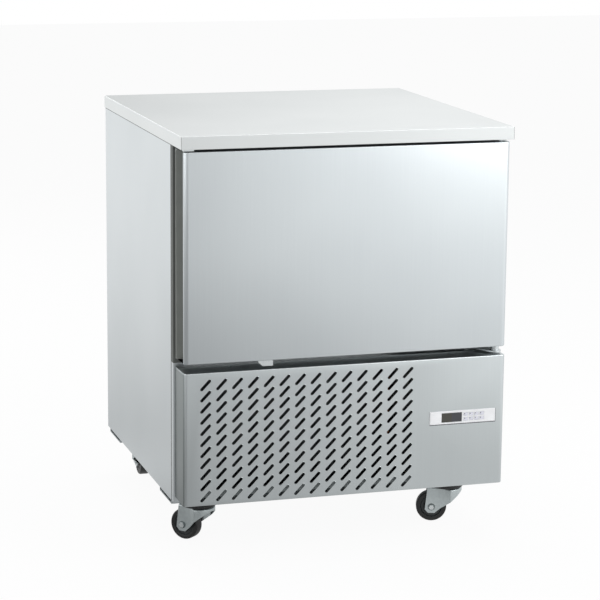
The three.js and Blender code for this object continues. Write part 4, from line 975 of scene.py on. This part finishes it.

# A dark foam strip between the bezel and the cover shows below the bezel and at its right end. It is
# painted shadow of the bezel on the cover.
bezel_shadow_foam = moulded("dark foam, painted bezel shadow", "#55545a", 0.8, 1 * mm, 0.2)
bezel_shadow_back, bezel_shadow_front = fascia_low.y - 0.05 * mm, fascia_low.y - 0.9 * mm
bezel_shadow_right = housing_high.x + 1.3 * mm
bezel_shadow = shape_of("controller_seal", bezel_shadow_foam, (
    slab, (housing_low.x + 1 * mm, bezel_shadow_front, housing_low.z - 1.9 * mm),
    (bezel_shadow_right, bezel_shadow_back, housing_low.z + 0.5 * mm)), (
    slab, (housing_high.x - 0.5 * mm, bezel_shadow_front, housing_low.z + 0.4 * mm),
    (bezel_shadow_right, bezel_shadow_back, housing_high.z - 1 * mm)))
set_on(bezel_shadow, "cabinet", "black_rubber")


def smoked_acrylic(name, left, right, split):
    """Polished acrylic with a dark print behind it: an olive filter at the left, grey at the
    right of the split. It mirrors the room in a clear, faint gloss."""
    material, tree, shader, place = begun(name)
    across = add(tree, "ShaderNodeSeparateXYZ", {"Vector": place})
    side = add(tree, "ShaderNodeMapRange", {"Value": across, "From Min": split - 0.5 * mm,
                                            "From Max": split + 0.5 * mm})
    colour = add(tree, "ShaderNodeMix", {"Factor": side, dark_side: tint(left),
                                         light_side: tint(right)}, data_type="RGBA")
    smear = add(tree, "ShaderNodeTexNoise", {"Vector": place, "Scale": 90.0})
    rough = add(tree, "ShaderNodeMapRange", {"Value": smear, "To Min": 0.1, "To Max": 0.22})
    feed(tree, shader, {"IOR": 1.49, "Base Color": colour, "Roughness": rough})
    return material


window_low, window_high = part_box("display_window")
acrylic = smoked_acrylic("smoked acrylic", "#45443e", "#434448", (window_low.x + window_high.x) / 2)
broken_edges("display_window", acrylic, "display_plastic", 0.2 * mm)
key_silicone = moulded("lavender-grey key top", "#e0e0ea", 0.5, 1 * mm, 0.15)
dot_ink = moulded("dark pad-printed ink", "#3b3a46", 0.5, 1 * mm, 0.1)
dot_radius, dot_height, dot_inset = 1.15 * mm, 0.12 * mm, 2.1 * mm
for number in range(1, 9):
    key = f"key_{number}"
    broken_edges(key, key_silicone, "key_plastic", 0.3 * mm, body=key)
    low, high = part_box(key)
    x, z = low.x + dot_inset, high.z - dot_inset
    dot = shape_of(f"{key}_dot", dot_ink, (
        round_bar, (x, low.y - dot_height, z), (x, low.y + 0.3 * mm, z), dot_radius, 16, 1,
        0.05 * mm))
    set_on(dot, key, "display_plastic")

# ------------------------------------------------------------------ condensing unit
# The condenser stands behind the slots, with its fan in a galvanised shroud. The hermetic compressor
# is two deep-drawn steel cups welded round the middle and stove-enamelled black.
finned_block("condenser_coil", 4 * mm, 6)
broken_edges("condenser_fan_shroud", zinc_sheet, "galvanised_steel", 0.4 * mm)
fan_rotor("condenser_fan", 34 * mm, 5)
broken_edges("condenser_fan_motor", black_enamel, "black_paint", 0.5 * mm)


def in_mm(*points):
    return [tuple(value * mm for value in point) for point in points]


def turned(bm, profile, sides, centre=(0, 0, 0)):
    """A closed profile of radius and height, turned round the Z axis of a centre."""
    cx, cy, cz = centre
    rings = [[bm.verts.new((cx + r * c, cy + r * s, cz + h)) for r, h in profile]
             for c, s in circle(sides)]
    for k, ring in enumerate(rings):
        quads(bm, ring, rings[(k + 1) % sides])


def rounded_plan(cx, cy, half_x, half_y, radius):
    """The plan of a plate with round corners, anticlockwise."""
    return [point for sx, sy, start in ((1, -1, -1), (1, 1, 0), (-1, 1, 1), (-1, -1, 2))
            for point in arc(cx + sx * (half_x - radius), cy + sy * (half_y - radius), radius,
                             start * quarter, (start + 1) * quarter, 6)]


low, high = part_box("compressor")
middle_x, middle_y = (low.x + high.x) / 2, (low.y + high.y) / 2
shell, height = (high.x - low.x) / 2, high.z - low.z
step, seam = 1.5 * mm, 0.46 * height
bottom, cup_corner, dome = 14 * mm, 24 * mm, 36 * mm
centre_gap = 0.01 * mm  # a turned profile stops just short of its axis
cup = [
    (centre_gap, bottom),
    *arc(shell - step - cup_corner, bottom + cup_corner, cup_corner, -quarter, 0, 8),
    (shell - step, seam - 3 * mm),
    (shell - 0.3 * mm, seam - 1.5 * mm),
    (shell, seam),
    (shell, height - dome),
    *[(shell * math.cos(a), height - dome + dome * math.sin(a))
      for a in [quarter * k / 12 for k in range(1, 12)]],
    (centre_gap, height),
]
foot, foot_corner = 85 * mm, 18 * mm
grommet = in_mm((0.01, 0), (14, 0), (15, 2), (12, 6), (15, 9), (0.01, 9))
compressor = shape_of(
    "compressor_shell", black_enamel, (turned, cup, 64, (middle_x, middle_y, low.z)),
    (rounded_prism, rounded_plan(middle_x, middle_y, foot, foot, foot_corner), low.z + 8 * mm,
     low.z + 12 * mm, 1 * mm),
    *[(turned, grommet, 24, (middle_x + sx * (foot - foot_corner),
                             middle_y + sy * (foot - foot_corner), low.z))
      for sx in (1, -1) for sy in (1, -1)])
set_on(compressor, "cabinet", "black_paint", "compressor")
powder_coat = moulded("light grey powder coat", "#b9bdbe", 0.45, 2 * mm, 0.3)
broken_edges("electrical_box", powder_coat, "galvanised_steel", 0.8 * mm)
for node in ("liquid_line", "suction_line", "discharge_line"):
    broken_edges(node, copper, "copper_pipe", 0, angle=50)

# ------------------------------------------------------------------ back
# Three columns of louvres are pressed out of the back panel to let the warm air away. The panel is
# held by pan-head screws down both edges. The mains cable's gland sits at the lower right.
back_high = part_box("back_panel")[1]
louvre_half, louvre_first, louvre_pitch, louvre_across = [v * mm for v in (87, 188.25, 30, 215)]
hood_reach, hood_sheet, hood_height = 2.1 * mm, 0.7 * mm, 8.5 * mm
hood_rings = []
for share in (0, 0.02, 0.05, 0.1, 0.9, 0.95, 0.98, 1):
    swell = math.sin(min(1, 10 * min(share, 1 - share) + 0.02) * quarter)
    x = (2 * share - 1) * louvre_half
    outer = [(hood_reach * swell * math.sin(quarter * k / 5), hood_height * (1 - k / 5))
             for k in range(6)]
    inner = [(y - hood_sheet, z - 0.15 * hood_sheet) for y, z in reversed(outer)]
    hood_rings.append([(x, back_high.y + 0.02 * mm + y, z) for y, z in outer + inner])
hood = shape_of("louvre", zinc_sheet, (loft, hood_rings), angle=30)
hoods = rows_of("back_louvre_hoods", hood, (3, 8), ((louvre_across, 0, 0), (0, 0, louvre_pitch)),
                (-louvre_across, 0, louvre_first), zinc_sheet)
set_on(hoods, "cabinet", "galvanised_steel")
screws("back_panel_screws", 3.6 * mm, 1.5 * mm, (2, 6), ((772 * mm, 0, 0), (0, 0, 158 * mm)),
       (-386 * mm, back_high.y - 0.05 * mm, 160 * mm), facing_back)
black_nylon = moulded("black nylon", "#1e1f20", 0.45, 1.2 * mm)
broken_edges("cable_gland", black_nylon, "black_rubber", 0.4 * mm)

# ------------------------------------------------------------------ casters
# Pressed zinc-plated forks swivel on a ball race under bolted plates. Each carries a black rubber
# tyre on a nylon centre, on a hex-headed axle bolt. A black nylon ring sits round the race.
fork_zinc = zinc_plated("bright zinc plate, casters", "#bcc4c5", 0.3)
dull_zinc = zinc_plated("dull zinc plate, spring washers", "#7c8485", 0.45)
tyre_rubber = moulded("black moulded rubber", "#111313", 0.42, 2 * mm, 0.2)
centre_nylon = moulded("dark grey nylon, wheel centre", "#2a2e2f", 0.45, 1.5 * mm)
casters = {
    # corner: swivel axis x and y, and how far the wheel has turned, in degrees
    "front_left": (-315 * mm, -232 * mm, 48),
    "front_right": (315 * mm, -232 * mm, 18),
    "rear_left": (-315 * mm, 328 * mm, 90),
    "rear_right": (315 * mm, 328 * mm, 35),
}
wheel_radius, wheel_half, hub_half, trail = 37.5 * mm, 12.5 * mm, 14.5 * mm, 35 * mm
crown_radius, crown_top, fork_sheet = 40 * mm, 88 * mm, 2.5 * mm
cheek_side, cheek_end, cheek_foot, cheek_start = 18.5 * mm, 52 * mm, 22 * mm, 14 * mm
skirt_angle, skirt_foot = 1.85, 81 * mm
plate_half_x, plate_half_y, plate_low, plate_high = 50 * mm, 42 * mm, 110.5 * mm, 114 * mm
bolt_x, bolt_y = 38 * mm, 30 * mm


def fork_plan(inwards, end):
    """Plan of the fork along its trail, anticlockwise: straight cheeks and a round crown."""
    side = cheek_side - inwards
    return [(end, -side), (end, side), (cheek_start, side),
            *arc(0, 0, crown_radius - inwards, skirt_angle, 2 * math.pi - skirt_angle, 36),
            (cheek_start, -side)]


def hexagon(bm, low_z, high_z, radius, chamfer):
    """A hex head about the Z axis, with its corners turned off at both faces."""
    rings = [(low_z, 0.87), (low_z + chamfer, 1.0), (high_z - chamfer, 1.0), (high_z, 0.87)]
    loft(bm, [[(u, v, z) for u, v in circle(6, radius * grow)] for z, grow in rings])


# the profiles that are turned, as radius and height in millimetres
race = in_mm((7, 88.3), (20, 88.3), (20, 92), (26, 93.3), (29, 95), (30, 98), (30, 107),
             (31.5, 110.6), (7, 110.6))
kingpin = in_mm((0.01, 80.7), (8.5, 80.7), (10, 82), (10, 85.2), (6, 85.2), (6, 92), (0.01, 92))
black_ring = in_mm((30.6, 89.2), (40, 89.2), (42, 90.5), (42, 96), (39, 98.5), (30.6, 98.5))
tread_corner, web = 4 * mm, wheel_half - 3.5 * mm
tread = [(28.5 * mm, -wheel_half + 0.6 * mm), (30 * mm, -wheel_half),
         *[(wheel_radius - tread_corner + r, h) for r, h in
           arc(0, -wheel_half + tread_corner, tread_corner, -quarter, 0, 6)]]
tread += [(r, -h) for r, h in reversed(tread)]
hub = [(4.6 * mm, -hub_half), (11.5 * mm, -hub_half), (13 * mm, -hub_half + 1.2 * mm),
       (14 * mm, -web + 0.5 * mm), (15 * mm, -web), (25 * mm, -web), (26 * mm, -web - 1 * mm),
       (27 * mm, -wheel_half + 0.8 * mm), (28.6 * mm, -wheel_half + 0.8 * mm)]
hub += [(r, -h) for r, h in reversed(hub)]
far, above = 60 * mm, crown_top + 1 * mm
rake = [(-far, 0), (-far, skirt_foot), (-crown_radius - 1 * mm, skirt_foot),
        (trail - 8 * mm, cheek_foot), (trail + 8 * mm, cheek_foot),
        (cheek_end - 1 * mm, cheek_foot + 9 * mm), (trail + 10 * mm, above), (far, above), (far, 0)]
axle_middle = Matrix.Translation((trail, 0, wheel_radius))
lying = axle_middle @ Matrix.Rotation(quarter, 4, "X")

for corner, (swivel_x, swivel_y, degrees) in casters.items():
    swivel = Matrix.Translation((swivel_x, swivel_y, 0))
    turned_away = swivel @ Matrix.Rotation(math.pi - math.radians(degrees), 4, "Z")
    fork_body, wheel_body = f"caster_fork_{corner}", f"caster_wheel_{corner}"

    def place_on(body, slot, piece, *nodes, place=turned_away):
        """Moves a piece made about the swivel axis to its corner and sets it on its body."""
        piece.data.transform(place)
        set_on(piece, body, slot, *nodes)

    place_on("cabinet", "zinc_plate", shape_of(
        f"caster_plate_{corner}_pressed", fork_zinc,
        (rounded_prism, rounded_plan(0, 0, plate_half_x, plate_half_y, 8 * mm), plate_low,
         plate_high, 0.6 * mm, 2),
        (turned, race, 48), (turned, kingpin, 32)), f"caster_plate_{corner}", place=swivel)
    bolt = shape_of("plate_bolt", bright_zinc, (
        hexagon, plate_low - 5 * mm, plate_low + 0.2 * mm, 6.5 * mm, 0.8 * mm))
    bolts = rows_of(f"caster_bolts_{corner}", bolt, (2, 2), ((2 * bolt_x, 0, 0), (0, 2 * bolt_y, 0)),
                    (swivel_x - bolt_x, swivel_y - bolt_y, 0), bright_zinc)
    set_on(bolts, "cabinet", "zinc_plate")
    place_on("cabinet", "black_rubber", shape_of(
        f"caster_dust_ring_{corner}", black_nylon, (turned, black_ring, 64)))

    fork = shape_of(f"caster_fork_{corner}_pressed", fork_zinc, (
        rounded_prism, fork_plan(0, cheek_end), cheek_foot - 3 * mm, crown_top, 4.5 * mm))
    inside = shape_of("inside", fork_zinc, (
        prism, fork_plan(fork_sheet, cheek_end + 5 * mm), 0, crown_top - fork_sheet))
    raked = shape_of("raked", fork_zinc, (
        loft, [[(along, y, up_z) for along, up_z in rake] for y in (far, -far)]))
    pin_hole = shape_of("pin_hole", fork_zinc, (
        round_bar, (0, 0, 70 * mm), (0, 0, 100 * mm), 6.6 * mm, 32, 2))
    for cutter in (inside, raked, pin_hole):
        carve(fork, cutter)
    place_on(fork_body, "zinc_plate", fork, f"caster_fork_{corner}")

    place_on(fork_body, "zinc_plate", shape_of(
        f"caster_axle_{corner}_bolt", bright_zinc,
        (round_bar, (trail, -19 * mm, wheel_radius), (trail, 19 * mm, wheel_radius), 4 * mm, 24),
        *[(placed, axle_middle @ Matrix.Rotation(-side * quarter, 4, "X"), hexagon, 18.8 * mm,
           23.3 * mm, 7 * mm, 0.9 * mm) for side in (1, -1)]), f"caster_axle_{corner}")
    place_on(fork_body, "zinc_plate", shape_of(
        f"caster_washers_{corner}", dull_zinc,
        *[(round_bar, (trail, side * 18.45 * mm, wheel_radius),
           (trail, side * 19.7 * mm, wheel_radius), 8.9 * mm, 32, 1, 0.3 * mm)
          for side in (1, -1)]))
    place_on(wheel_body, "black_rubber", shape_of(
        f"caster_tyre_{corner}", tyre_rubber, (placed, lying, turned, tread, 72)),
        f"caster_wheel_{corner}")
    place_on(wheel_body, "black_rubber", shape_of(
        f"caster_wheel_centre_{corner}", centre_nylon, (placed, lying, turned, hub, 72)))
